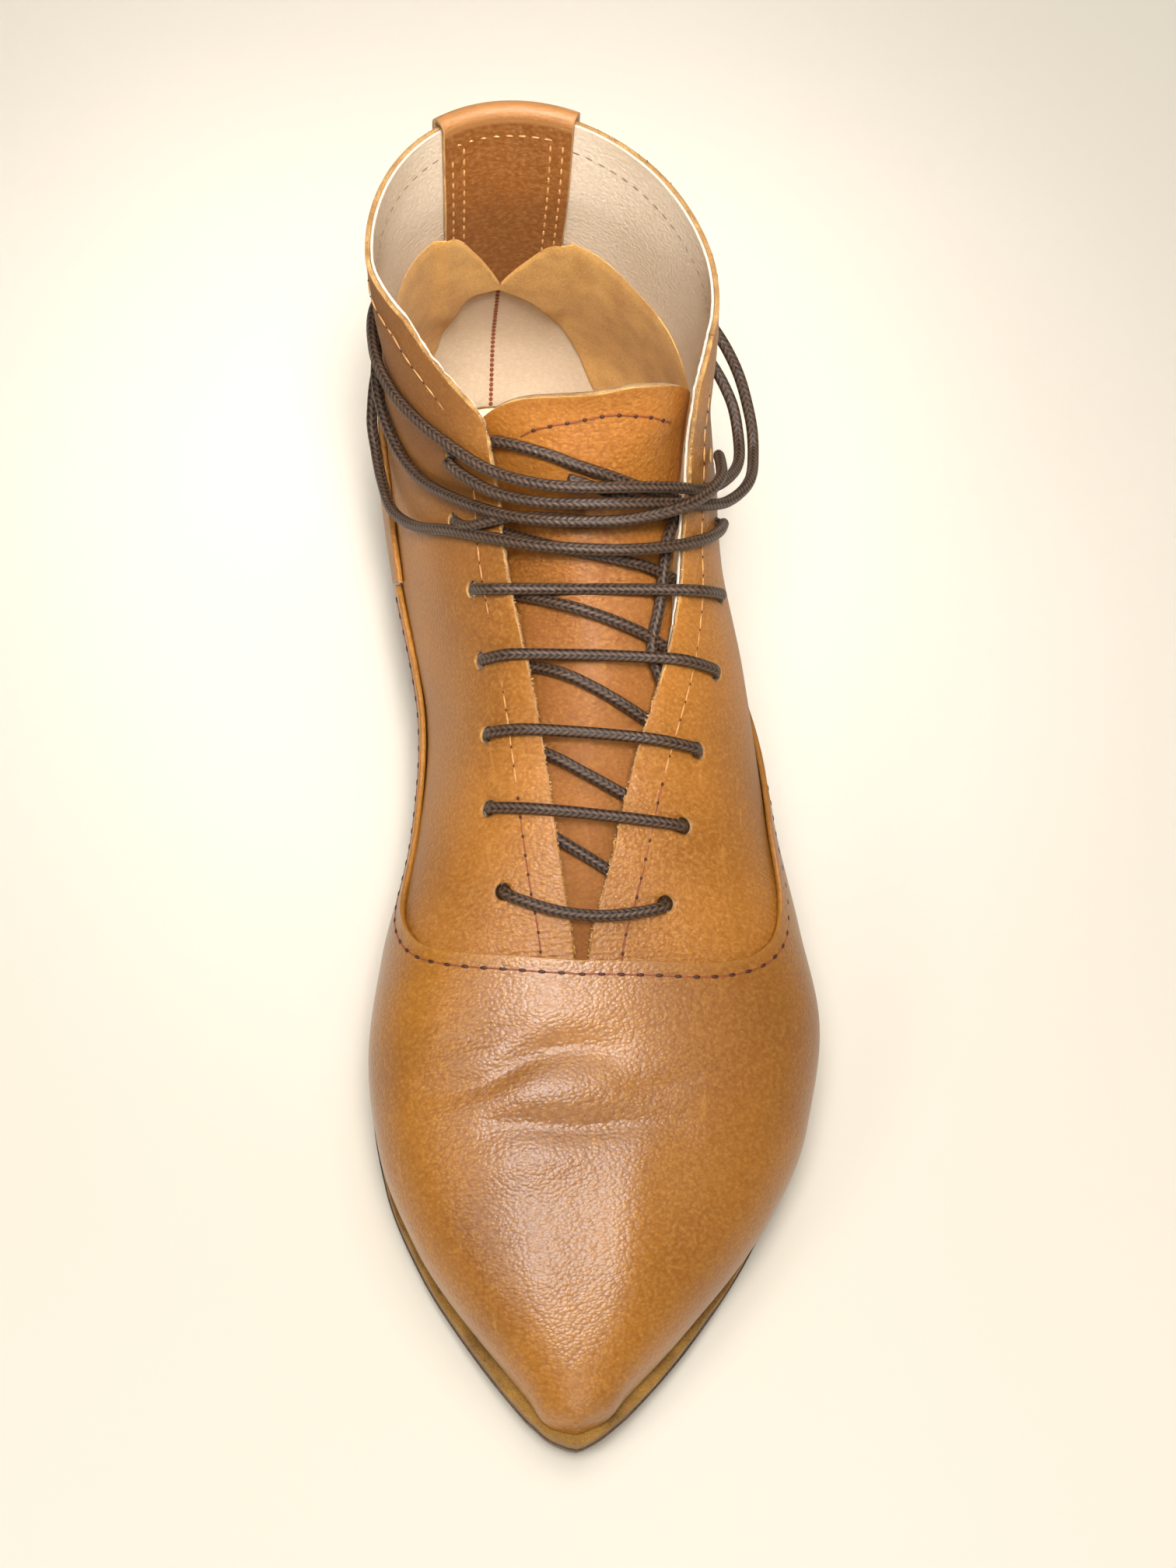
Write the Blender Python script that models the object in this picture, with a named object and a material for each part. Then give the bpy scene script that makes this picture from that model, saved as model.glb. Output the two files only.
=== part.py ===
"""Left lace-up ankle boot, an assembly of separate solids standing on its sole.

Units in the tables are millimetres. The toe points to -Y, the outer side of the foot is +X,
and the origin is on the floor under the middle of the heel.
"""
import math

import bmesh
import bpy
import numpy as np
from mathutils import Vector

MM = 0.001
GAP = 0.3               # clearance between pieces that touch
PANEL_GAP = 0.45        # the same where facets of a panel and the upper differ
TAB_GAP = 0.5           # and where the tab bridges the tightly curved collar
TONGUE_GAP = 0.6        # the tongue lies this far under the upper's wall
HEEL_CENTRE = 30.0      # from the back of the heel to the origin
WALL = 2.0              # thickness of the upper
PANEL = 1.2             # thickness of the leather panels sewn over the upper
TONGUE = 1.6
INSOLE = 2.0
MIDSOLE = 3.0
OUTSOLE = 3.4
LACE = 3.0              # diameter of the round lace
WELD = 0.02             # merge distance where the halves of a surface meet
PROBE = 0.01            # step for measuring the surface's normal
HALVINGS = 30           # steps of the search for an angle
SHARP_DEG = 40          # edges sharper than this stay crisp
INSIDE = (0, -60, 45)   # a point in the middle of the boot's hollow
HALF_PI = math.pi / 2

LATERAL, MEDIAL = 1, -1

# Sections of the last from toe tip to collar. Each section lies in a plane from a low point
# (d forward of the heel back, z, x of its centre) to a ridge point over the foot. feather_ is the
# half width at the low point, wide_ the greatest half width, rise the height share where that is,
# full_ how square the upper part is, for the medial (m) and lateral (l) sides.
LAST_COLUMNS = ("name", "low_d", "low_z", "low_x", "ridge_d", "ridge_z", "ridge_x",
                "feather_m", "feather_l", "wide_m", "wide_l", "rise", "full_m", "full_l")
LAST_ROWS = (
    ("tip",      266, 12.0, -2.0, 265.5,  18, -2,  0,  0,    0,    0, .45, 2.0, 2.0),
    ("nose",     265, 11.8, -1.8, 264.3,  21, -2,  5,  5,    6,    6, .45, 2.0, 2.0),
    ("toe",      260, 11.3, -1.0, 258.5,  25, -2, 10, 10,   12,   13, .45, 2.1, 2.1),
    ("toe_box",  246, 10.0,  0.0, 243.0,  32, -2, 18, 21,   22,   27, .42, 2.3, 2.3),
    ("toe_root", 225,  8.2,  2.0, 222.0,  39,  0, 28, 34,   34,   43, .40, 2.3, 2.3),
    ("tread",    204,  7.0,  4.0, 202.0,  46,  2, 36, 43,   42,   52, .38, 2.3, 2.3),
    ("ball",     183,  7.0,  5.0, 182.0,  54,  5, 39, 47,   45,   55, .38, 2.2, 2.2),
    ("joint",    158,  8.0,  6.0, 162.0,  64,  7, 36, 45,   43,   53, .36, 2.1, 2.1),
    ("waist",    128, 12.0,  7.0, 140.0,  75, 10, 28, 38,   36,   46, .38, 2.0, 2.0),
    ("arch",      92, 20.0,  5.0, 115.0,  88, 13, 21, 31,   31,   42, .38, 2.0, 2.0),
    ("breast",    52, 26.0,  1.0, 101.0,  97, 14, 23, 28,   32,   40, .40, 2.0, 2.0),
    ("seat",      20, 27.0,  0.0,  95.0, 102, 14, 24, 26,   33,   40, .44, 2.0, 2.0),
    ("back",       3, 27.0,  0.0,  91.0, 106, 14, 25, 27,   34,   39, .48, 2.0, 2.0),
    ("heel",       0, 50.0,  0.0,  87.0, 111, 13, 26, 28,   35,   38, .50, 2.0, 2.0),
    ("ankle",      5, 85.0,  0.0,  82.0, 117, 12, 26, 28,   36,   37, .50, 1.9, 2.2),
    ("shaft",      5,  112,  0.0,  78.0, 122, 10, 26, 28, 37.5,   38, .50, 1.8, 2.4),
    ("collar",     1,  135,  0.0,  76.0, 126,  9, 26, 28, 38.5, 38.5, .50, 1.7, 2.5),
)
BACK, COLLAR = 12, 16   # sections where the back seam begins and ends
# How far forward of the back seam the heel and shaft curve in plan.
ROUND_ROWS = (          # height, distance
    (27, 27),
    (50, 40),
    (85, 41),
    (135, 42),
)

# Half width of the throat from the ridge line, from the vamp's point up to the collar.
THROAT_ROWS = (         # section, medial, lateral
    (6.2, 0.6, 0.6),
    (7.0, 4.4, 5.3),
    (8.0, 9.3, 9.2),
    (9.0, 15.0, 17.0),
    (10.0, 18.3, 21.2),
    (11.0, 19.3, 22.4),
    (13.0, 19.8, 26.0),
    (14.3, 20.6, 28.0),
    (15.0, 25.0, 30.0),
    (16.0, 33.0, 34.0),
)
# Upper edge of the vamp panel. It crosses the foot on one section, and along its wings the
# angle falls, from a facet line of the crossing.
VAMP_SECTION = 6.15
VAMP_CORNER = {MEDIAL: 6, LATERAL: 5}   # facets over the widest line where a wing begins
VAMP_ROWS = (           # section, medial angle, lateral angle
    (6.42, 1.120, 0.800),
    (6.80, 0.870, 0.640),
    (7.20, 0.570, 0.540),
    (7.60, 0.260, 0.420),
    (8.20, 0.050, 0.200),
    (9.00, -0.150, -0.050),
    (9.88, -0.280, -0.220),
)
# Upper edge of the counter panel, as the angle round each section.
COUNTER_ROWS = (        # section, angle
    (9.92, -0.16),
    (11.0, -0.18),
    (12.0, -0.20),
    (12.5, -0.36),
    (13.0, -0.72),
    (13.2, -0.95),
    (13.4, -1.25),
)
COUNTER_JOIN = 12.4     # section where the counter's halves begin to meet on the back seam
COLUMNS, LOWER = 14, 6  # facets round half a section, and those under its widest line
FOOT_COLUMNS = 2        # facets under the panels, which stop above the welt
PANEL_FOOT = -HALF_PI * (1 - FOOT_COLUMNS / LOWER)
# Half width of the tongue about the ridge line.
TONGUE_ROWS = (         # section, half width
    (5.5, 9.0),
    (6.2, 12.0),
    (8.0, 17.0),
    (10.0, 25.0),
    (13.0, 26.5),
    (14.8, 25.5),
    (15.6, 23.0),
    (16.0, 17.0),
)
# How far the sole's layers reach past the last's feather edge, round the outline.
SOLE_ROWS = (           # section, insole, midsole, outsole
    (0, -3.2, 5.0, 5.6),
    (3, -3.2, 6.4, 7.0),
    (5, -2.2, 6.6, 7.0),
    (7, -1.6, 5.0, 5.2),
    (9, -1.8, 3.2, 3.4),
    (10.5, -3.0, 2.8, 3.0),
    (12, -3.4, 2.4, 2.6),
)
SOLE_SLOPE = 0.8        # the outsole's lower edge lies this far inside its upper edge
HEEL_FRONT = 9.85       # section at the heel's breast
HEEL_INSET = 0.6        # the heel's upper edge lies this far inside the outsole
HEEL_TAPER = 2.2        # the top piece is this much smaller all round
# Half width of the tab that is folded over the collar at the back.
TAB_ROWS = (            # section, half width
    (13.6, 12.5),
    (15.0, 14.5),
    (16.0, 15.5),
)
TAB_OUTSIDE = 15.0      # section where the tab's outer leaf ends
# Lace holes, from the vamp up: section and distance from the ridge line on each side.
HOLE_ROWS = (           # medial section, lateral section, medial reach, lateral reach
    (7.06, 6.84, 17.7, 18.6),
    (7.87, 7.58, 21.9, 21.8),
    (8.46, 8.23, 22.5, 24.9),
    (9.07, 8.84, 23.2, 29.5),
    (9.81, 9.61, 24.2, 33.0),
)
# Routes of the loose lace: section, angle, side, height of the lace's centre over the upper.
WRAP_ROUTE = (
    (12.58, 0.50, LATERAL, 2.4), (12.50, 0.58, LATERAL, 3.4), (12.36, 0.70, LATERAL, 4.8),
    (12.22, 0.84, LATERAL, 5.5), (12.04, 0.98, LATERAL, 5.6), (11.85, 1.12, LATERAL, 5.4),
    (11.70, 1.30, LATERAL, 3.6), (11.64, 1.50, LATERAL, 2.4), (11.66, 1.25, MEDIAL, 2.4),
    (11.72, 0.98, MEDIAL, 2.4), (11.90, 0.70, MEDIAL, 2.4), (12.20, 0.45, MEDIAL, 2.4),
    (12.60, 0.22, MEDIAL, 2.4), (13.10, 0.00, MEDIAL, 2.5), (13.50, -0.25, MEDIAL, 2.6),
    (13.78, -0.62, MEDIAL, 2.5), (13.88, -1.10, MEDIAL, 2.4), (13.90, -1.57, LATERAL, 2.4),
    (13.88, -1.00, LATERAL, 2.5), (13.76, -0.50, LATERAL, 3.4), (13.45, -0.14, LATERAL, 5.4),
    (13.00, 0.08, LATERAL, 7.0), (12.50, 0.22, LATERAL, 7.3), (12.02, 0.38, LATERAL, 6.4),
    (11.82, 0.60, LATERAL, 4.0), (12.05, 0.84, LATERAL, 2.5), (12.48, 1.06, LATERAL, 2.4),
    (12.80, 1.32, LATERAL, 2.4), (12.95, 1.52, MEDIAL, 2.4), (13.02, 1.25, MEDIAL, 2.4),
    (13.18, 0.98, MEDIAL, 2.4), (13.48, 0.72, MEDIAL, 2.4), (13.68, 0.48, MEDIAL, 2.4),
    (13.86, 0.22, MEDIAL, 2.4), (14.06, -0.08, MEDIAL, 2.5), (14.22, -0.45, MEDIAL, 2.6),
    (14.30, -1.00, MEDIAL, 2.4), (14.32, -1.57, LATERAL, 2.4), (14.30, -1.05, LATERAL, 2.8),
    (14.20, -0.60, LATERAL, 4.2), (13.92, -0.26, LATERAL, 7.2), (13.40, -0.02, LATERAL, 9.8),
    (12.70, 0.13, LATERAL, 11.0), (12.00, 0.24, LATERAL, 10.6), (11.40, 0.42, LATERAL, 8.4),
    (11.22, 0.64, LATERAL, 4.6), (11.45, 0.86, LATERAL, 2.5), (11.86, 1.06, LATERAL, 2.4),
    (12.18, 1.28, LATERAL, 2.4), (12.35, 1.52, LATERAL, 2.4), (12.42, 1.25, MEDIAL, 2.4),
    (12.56, 0.98, MEDIAL, 2.4), (12.84, 0.78, MEDIAL, 2.4), (13.05, 0.69, MEDIAL, 2.4),
)
TAIL_ROUTE = (
    (10.63, 0.52, LATERAL, 2.4), (10.54, 0.66, LATERAL, 2.4), (10.50, 0.90, LATERAL, 2.4),
    (10.50, 1.20, LATERAL, 2.4), (10.58, 1.52, LATERAL, 2.4), (10.72, 1.20, MEDIAL, 2.4),
    (10.82, 0.90, MEDIAL, 2.4), (10.80, 0.62, MEDIAL, 2.5), (10.70, 0.34, MEDIAL, 2.8),
    (10.82, 0.10, MEDIAL, 3.6), (11.25, -0.06, MEDIAL, 3.8), (11.90, -0.16, MEDIAL, 3.8),
    (12.60, -0.30, MEDIAL, 3.8), (13.18, -0.54, MEDIAL, 3.6), (13.52, -1.00, MEDIAL, 2.8),
    (13.60, -1.57, LATERAL, 2.8), (13.55, -1.05, LATERAL, 2.6), (13.36, -0.68, LATERAL, 3.0),
    (13.02, -0.40, LATERAL, 3.6), (12.58, -0.26, LATERAL, 3.6), (12.10, -0.18, LATERAL, 3.4),
)
LACE_STEP = 8.5         # spacing of the points along the loose lace
TURN_REACH = 2.6        # how far a lacing turn bulges past the holes
TURN_DROP = 0.17        # share of the row spacing between a bar and the run beside it
LACING_STEP = 6.0
LACING_LIFT = 2.0       # height of the bars' centre line over the upper
BAR_STOPS = 6           # stops along one bar or run

COLOURS = {             # base colour, roughness
    "outsole": ((0.060, 0.042, 0.028), 0.70),
    "midsole": ((0.330, 0.240, 0.100), 0.85),
    "heel": ((0.095, 0.060, 0.035), 0.60),
    "insole": ((0.640, 0.560, 0.420), 0.70),
    "upper": ((0.400, 0.170, 0.045), 0.45),
    "vamp": ((0.420, 0.185, 0.055), 0.40),
    "counter": ((0.400, 0.170, 0.045), 0.45),
    "back_tab": ((0.380, 0.155, 0.045), 0.50),
    "tongue": ((0.400, 0.165, 0.045), 0.45),
    "lacing": ((0.050, 0.032, 0.024), 0.55),
    "lace_wrap": ((0.050, 0.032, 0.024), 0.55),
    "lace_tail": ((0.050, 0.032, 0.024), 0.55),
}


class Smooth:
    """A curve through a table's values that never swings past them."""

    def __init__(self, knots, values):
        self.knots = np.array(knots, float)
        self.values = np.array(values, float)
        width = np.diff(self.knots)
        rise = np.diff(self.values) / width
        slope = np.concatenate(([rise[0]], np.zeros(len(rise) - 1), [rise[-1]]))
        for i in range(1, len(rise)):
            if rise[i - 1] * rise[i] > 0:
                before = 2 * width[i] + width[i - 1]
                after = width[i] + 2 * width[i - 1]
                slope[i] = (before + after) / (before / rise[i - 1] + after / rise[i])
        self.slope = slope

    def __call__(self, x):
        i = int(np.clip(np.searchsorted(self.knots, x) - 1, 0, len(self.knots) - 2))
        width = self.knots[i + 1] - self.knots[i]
        t = (x - self.knots[i]) / width
        if t < 0 or t > 1:
            end = 0 if t < 0 else -1
            return float(self.values[end] + self.slope[end] * (x - self.knots[end]))
        start, finish = self.values[i], self.values[i + 1]
        lead, trail = self.slope[i] * width, self.slope[i + 1] * width
        return float((1 + 2 * t) * (1 - t) ** 2 * start + t * (1 - t) ** 2 * lead
                     + t * t * (3 - 2 * t) * finish + t * t * (t - 1) * trail)


def table(rows, column):
    return Smooth([row[0] for row in rows], [row[column] for row in rows])


LAST = {name: Smooth(range(len(LAST_ROWS)), [row[i] for row in LAST_ROWS])
        for i, name in enumerate(LAST_COLUMNS) if i > 0}
BACK_LINE = Smooth([row[2] for row in LAST_ROWS[BACK:]], [row[1] for row in LAST_ROWS[BACK:]])
SEAT = Smooth([row[1] for row in reversed(LAST_ROWS[:BACK + 1])],
              [row[2] for row in reversed(LAST_ROWS[:BACK + 1])])
THROAT = {MEDIAL: table(THROAT_ROWS, 1), LATERAL: table(THROAT_ROWS, 2)}
COUNTER_EDGE = table(COUNTER_ROWS, 1)
TONGUE_HALF = table(TONGUE_ROWS, 1)
ROUND = table(ROUND_ROWS, 1)


def side_value(name, section, side):
    return LAST[name + ("_l" if side == LATERAL else "_m")](section)


def low_point(section):
    height = LAST["low_z"](section)
    forward = BACK_LINE(height) if section > BACK else LAST["low_d"](section)
    return Vector((LAST["low_x"](section), HEEL_CENTRE - forward, height))


def ridge_point(section):
    return Vector((LAST["ridge_x"](section), HEEL_CENTRE - LAST["ridge_d"](section),
                   LAST["ridge_z"](section)))


def heel_round(point):
    """Share of the half width that is left near the back line, where the heel curves in plan."""
    forward = HEEL_CENTRE - point.y - BACK_LINE(point.z)
    lack = 1 - min(max(forward / ROUND(point.z), 0), 1)
    return math.sqrt(1 - lack * lack)


def last_point(section, angle, side):
    """Point of the last: angle runs from -90 degrees at the feather or back seam to the ridge."""
    feather = side_value("feather", section, side)
    wide = side_value("wide", section, side)
    rise = LAST["rise"](section)
    up = min(abs(math.sin(angle)), 1.0)
    low, ridge = low_point(section), ridge_point(section)
    if angle < 0:
        point = low.lerp(ridge, rise * (1 - up))
        seat = LAST["low_z"](min(section, BACK))
        tuck = 1 - min(max((point.z - seat) / (rise * (ridge.z - seat)), 0), 1)
        reach = feather + (wide - feather) * math.sqrt(1 - tuck * tuck)
    else:
        power = 2 / side_value("full", section, side)
        point = low.lerp(ridge, rise + (1 - rise) * up ** power)
        reach = wide * max(math.cos(angle), 0.0) ** power
    return point + Vector((side * reach * heel_round(point), 0, 0))


def skin(section, angle, side, lift=0.0):
    """Point at a height over the last's surface, or under it where lift is negative."""
    point = last_point(section, angle, side)
    if lift == 0:
        return point
    along = (last_point(min(section + PROBE, COLLAR), angle, side)
             - last_point(max(section - PROBE, 0), angle, side))
    around = (last_point(section, min(angle + PROBE, HALF_PI), side)
              - last_point(section, max(angle - PROBE, -HALF_PI), side))
    normal = along.cross(around) * side
    on_back_seam = section >= BACK and angle <= -HALF_PI + PROBE
    if section <= PROBE or angle >= HALF_PI - PROBE or on_back_seam:
        normal.x = 0
    return point + normal.normalized() * lift


def angle_at(section, reach, side):
    """Angle of the point that lies at a sideways reach from the ridge line."""
    share = min(max(reach / side_value("wide", section, side), 0), 1)
    return math.acos(share ** (side_value("full", section, side) / 2))


def back_angle(section, reach, side):
    """Angle of the point that lies at a sideways reach from the back seam."""
    low, high = -HALF_PI, 0.0
    for _ in range(HALVINGS):
        middle = (low + high) / 2
        if abs(last_point(section, middle, side).x - low_point(section).x) < reach:
            low = middle
        else:
            high = middle
    return low


def throat_angle(section, side):
    if section <= THROAT_ROWS[0][0]:
        return HALF_PI
    return angle_at(section, THROAT[side](section), side)


def spread(start, stop, count):
    return [start + (stop - start) * i / count for i in range(count + 1)]


def material(name):
    colour, roughness = COLOURS[name]
    made = bpy.data.materials.new(name)
    made.use_nodes = True
    shader = made.node_tree.nodes["Principled BSDF"]
    shader.inputs["Base Color"].default_value = (*colour, 1)
    shader.inputs["Roughness"].default_value = roughness
    shader.inputs["Metallic"].default_value = 0
    return made


def finish_object(name, data):
    made = bpy.data.objects.new(name, data)
    made.data.materials.append(material(name))
    bpy.context.scene.collection.objects.link(made)
    return made


def add_sheet(bm, rows, columns, place):
    """Grid whose points come from place(row value, column share)."""
    made = bmesh.ops.create_grid(bm, x_segments=columns, y_segments=len(rows) - 1, size=1)
    for vert in made["verts"]:
        share = (vert.co.x + 1) / 2
        row = rows[round((vert.co.y + 1) / 2 * (len(rows) - 1))]
        vert.co = place(row, share) * MM


def mesh_object(name, bm):
    bmesh.ops.remove_doubles(bm, verts=bm.verts, dist=WELD * MM)
    bmesh.ops.dissolve_degenerate(bm, edges=bm.edges, dist=WELD * MM)
    bmesh.ops.recalc_face_normals(bm, faces=bm.faces)
    mesh = bpy.data.meshes.new(name)
    bm.to_mesh(mesh)
    bm.free()
    mesh.shade_smooth()
    mesh.set_sharp_from_angle(angle=math.radians(SHARP_DEG))
    return finish_object(name, mesh)


def shell(name, sheets, thickness, outward):
    """Solid wall from open sheets that share a lift; it grows outward or inward."""
    bm = bmesh.new()
    for rows, columns, place in sheets:
        add_sheet(bm, rows, columns, place)
    made = mesh_object(name, bm)
    grow = made.modifiers.new("wall", "SOLIDIFY")
    grow.thickness = thickness * MM
    grow.offset = 1 if outward else -1
    grow.use_even_offset = True
    grow.use_rim = True
    return made


def face_outward(made):
    """Turns an open sheet's faces so that they look away from the inside of the boot."""
    mesh = made.data
    inside = Vector(INSIDE) * MM
    facing = sum((face.center - inside).dot(face.normal) * face.area for face in mesh.polygons)
    if facing < 0:
        mesh.flip_normals()


def panel_angle(share, foot, top, lower):
    """Angles from foot to top; the share called lower of them lies under the widest line."""
    if top <= 0:
        return foot + (top - foot) * share
    if share < lower:
        return foot * (1 - share / lower)
    return top * (share - lower) / (1 - lower)


def make_upper():
    rows = spread(0, 6, 12) + [6.2, 6.6] + spread(7, 11, 8) + [11.3, 11.6, 11.85] + spread(BACK, COLLAR, 8)

    def half(side):
        def place(section, share):
            top = throat_angle(section, side)
            return skin(section, panel_angle(share, -HALF_PI, top, LOWER / COLUMNS), side)
        return rows, COLUMNS, place

    made = shell("upper", [half(LATERAL), half(MEDIAL)], WALL, outward=False)
    face_outward(made)


def make_vamp():
    columns = COLUMNS - FOOT_COLUMNS
    lower = LOWER - FOOT_COLUMNS
    facet = HALF_PI / (COLUMNS - LOWER)

    def front(side):
        def place(section, share):
            angle = panel_angle(share, PANEL_FOOT, HALF_PI, lower / columns)
            return skin(section, angle, side, PANEL_GAP)
        return spread(0, 6, 12) + [VAMP_SECTION], columns, place

    def wing(side):
        corner = VAMP_CORNER[side]
        top_angle = corner * facet
        column = 1 if side == MEDIAL else 2
        edge = table(((VAMP_SECTION, top_angle, top_angle),) + VAMP_ROWS, column)

        def place(section, share):
            angle = panel_angle(share, PANEL_FOOT, top_angle, lower / (lower + corner))
            fall = (edge(section) - PANEL_FOOT) / (top_angle - PANEL_FOOT)
            return skin(section, PANEL_FOOT + (angle - PANEL_FOOT) * fall, side, PANEL_GAP)
        rows = [VAMP_SECTION, 6.3] + spread(6.5, 7.5, 5) + spread(8, 9.5, 3) + [VAMP_ROWS[-1][0]]
        return rows, lower + corner, place

    sheets = [make(side) for make in (front, wing) for side in (LATERAL, MEDIAL)]
    made = shell("vamp", sheets, PANEL, outward=True)
    face_outward(made)


def make_counter():
    start, end = COUNTER_ROWS[0][0], COUNTER_ROWS[-1][0]
    rows = [start, 10.5, 11, 11.4, 11.7] + spread(BACK, 13, 5) + [13.2, end]
    foot = Smooth((start, BACK, COUNTER_JOIN, COLLAR), (PANEL_FOOT, PANEL_FOOT, -HALF_PI, -HALF_PI))

    def half(side):
        def place(section, share):
            low = max(foot(section), -HALF_PI)
            return skin(section, low + (COUNTER_EDGE(section) - low) * share, side, PANEL_GAP)
        return rows, 7, place

    made = shell("counter", [half(LATERAL), half(MEDIAL)], PANEL, outward=True)
    face_outward(made)


def make_tongue():
    rows = [5.5, 6.2] + spread(7, 15, 10) + [15.4, 15.7, COLLAR]

    def place(section, share):
        reach = TONGUE_HALF(section) * (2 * share - 1)
        side = LATERAL if reach >= 0 else MEDIAL
        return skin(section, angle_at(section, abs(reach), side), side, -WALL - TONGUE_GAP)

    made = shell("tongue", [(rows, 12, place)], TONGUE, outward=False)
    face_outward(made)


def outline_point(section, side, margin):
    """Point of the last's feather line, moved out by a margin in plan."""
    def feather(at):
        point = low_point(at)
        reach = side_value("feather", at, side) * heel_round(point)
        return Vector((point.x + side * reach, point.y, 0))
    step = feather(min(section + PROBE, BACK)) - feather(max(section - PROBE, 0))
    out = Vector((step.y, -step.x, 0)) * side
    if section <= PROBE or section >= BACK - PROBE:
        out.x = 0
    return feather(section) + out.normalized() * margin


def plate(name, rows, top, bottom, columns=2):
    """Solid between two surfaces; each gives its margin at a section and its height at a point."""
    bm = bmesh.new()
    for margin, height in (top, bottom):
        def place(section, share):
            inner = outline_point(section, MEDIAL, margin(section))
            outer = outline_point(section, LATERAL, margin(section))
            point = inner.lerp(outer, share)
            point.z = height(HEEL_CENTRE - point.y)
            return point
        add_sheet(bm, rows, columns, place)
    bmesh.ops.remove_doubles(bm, verts=bm.verts, dist=WELD * MM)
    edges = [edge for edge in bm.edges if edge.is_boundary]
    bmesh.ops.bridge_loops(bm, edges=edges)
    mesh_object(name, bm)


def make_soles():
    rows = spread(0, 3, 9) + spread(3.5, 10.5, 14) + spread(11, 11.8, 4) + [11.92, BACK]
    insole_margin, midsole_margin, outsole_margin = (table(SOLE_ROWS, i) for i in (1, 2, 3))
    midsole_base = GAP + MIDSOLE
    outsole_base = midsole_base + GAP + OUTSOLE

    def under(depth):
        return lambda d: SEAT(d) - depth

    plate("insole", rows, (insole_margin, under(-INSOLE)), (insole_margin, under(0)))
    plate("midsole", rows, (midsole_margin, under(GAP)), (midsole_margin, under(midsole_base)))
    plate("outsole", rows, (outsole_margin, under(midsole_base + GAP)),
          (lambda s: outsole_margin(s) - SOLE_SLOPE, under(outsole_base)))

    def heel_head(section):
        return outsole_margin(section) - HEEL_INSET

    def heel_foot(section):
        return heel_head(section) - HEEL_TAPER

    heel_rows = spread(HEEL_FRONT, 10.6, 3) + spread(10.8, 11.8, 5) + [11.92, BACK]
    plate("heel", heel_rows, (heel_head, under(outsole_base + GAP)), (heel_foot, lambda d: 0.0))


def make_back_tab():
    """Strip folded over the collar's top edge at the back seam."""
    half_width = table(TAB_ROWS, 1)
    inner, outer = -WALL - TAB_GAP, TAB_GAP
    path = [(section, inner, 0) for section in spread(TAB_ROWS[0][0], COLLAR, 8)]
    fold = spread(0, math.pi, 4)
    middle, radius = (inner + outer) / 2, (outer - inner) / 2
    path += [(COLLAR, middle - radius * math.cos(turn), TAB_GAP + radius * math.sin(turn)) for turn in fold]
    path += [(section, outer, 0) for section in spread(COLLAR, TAB_OUTSIDE, 3)]

    def place(row, share):
        section, lift, raised = path[row]
        reach = half_width(section) * (2 * share - 1)
        side = LATERAL if reach >= 0 else MEDIAL
        return skin(section, back_angle(section, abs(reach), side), side, lift) + Vector((0, 0, raised))

    bm = bmesh.new()
    add_sheet(bm, list(range(len(path))), 6, place)
    made = mesh_object("back_tab", bm)
    grow = made.modifiers.new("wall", "SOLIDIFY")
    grow.thickness = PANEL * MM
    grow.offset = 1
    grow.use_even_offset = True


def smooth_route(points, step):
    """Evenly spaced points on a smooth curve through the route's own points."""
    knots = [0.0]
    for one, two in zip(points, points[1:]):
        knots.append(knots[-1] + (two - one).length)
    axes = [[point[i] for point in points] for i in range(3)]
    slopes = []
    for axis in axes:
        slope = [(axis[1] - axis[0]) / (knots[1] - knots[0])]
        slope += [(axis[i + 1] - axis[i - 1]) / (knots[i + 1] - knots[i - 1])
                  for i in range(1, len(axis) - 1)]
        slope.append((axis[-1] - axis[-2]) / (knots[-1] - knots[-2]))
        slopes.append(slope)
    count = round(knots[-1] / step)
    made = []
    for at in spread(0, knots[-1], count):
        i = min(max(int(np.searchsorted(knots, at)) - 1, 0), len(knots) - 2)
        width = knots[i + 1] - knots[i]
        t = (at - knots[i]) / width
        made.append(Vector(
            (1 + 2 * t) * (1 - t) ** 2 * axis[i] + t * (1 - t) ** 2 * slope[i] * width
            + t * t * (3 - 2 * t) * axis[i + 1] + t * t * (t - 1) * slope[i + 1] * width
            for axis, slope in zip(axes, slopes)))
    return made


def tube(name, points):
    curve = bpy.data.curves.new(name, "CURVE")
    curve.dimensions = "3D"
    curve.bevel_depth = LACE / 2 * MM
    curve.bevel_resolution = 2
    curve.use_fill_caps = True
    spline = curve.splines.new("POLY")
    spline.points.add(len(points) - 1)
    for slot, point in zip(spline.points, points):
        slot.co = (*(point * MM), 1)
    finish_object(name, curve)


def make_lacing():
    """Bars across the throat, joined by the slanting runs between one row and the next."""
    def on_throat(section, reach):
        side = LATERAL if reach >= 0 else MEDIAL
        return skin(section, angle_at(section, abs(reach), side), side, LACING_LIFT)

    def between(start, stop):
        return [on_throat(start[0] + (stop[0] - start[0]) * t, start[1] + (stop[1] - start[1]) * t)
                for t in spread(0, 1, BAR_STOPS)]

    points = []
    for i, (low_m, low_l, reach_m, reach_l) in enumerate(HOLE_ROWS):
        points += between((low_m, -reach_m), (low_l, reach_l))
        if i + 1 < len(HOLE_ROWS):
            next_m, next_l, next_reach_m = HOLE_ROWS[i + 1][:3]
            start = low_l + (next_l - low_l) * 2 * TURN_DROP
            stop = next_m + (low_m - next_m) * 2 * TURN_DROP
            points.append(on_throat(low_l + (next_l - low_l) * TURN_DROP, reach_l + TURN_REACH))
            points += between((start, reach_l), (stop, -next_reach_m))
            points.append(on_throat(next_m + (low_m - next_m) * TURN_DROP, -next_reach_m - TURN_REACH))
    tube("lacing", smooth_route(points, LACING_STEP))


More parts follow.
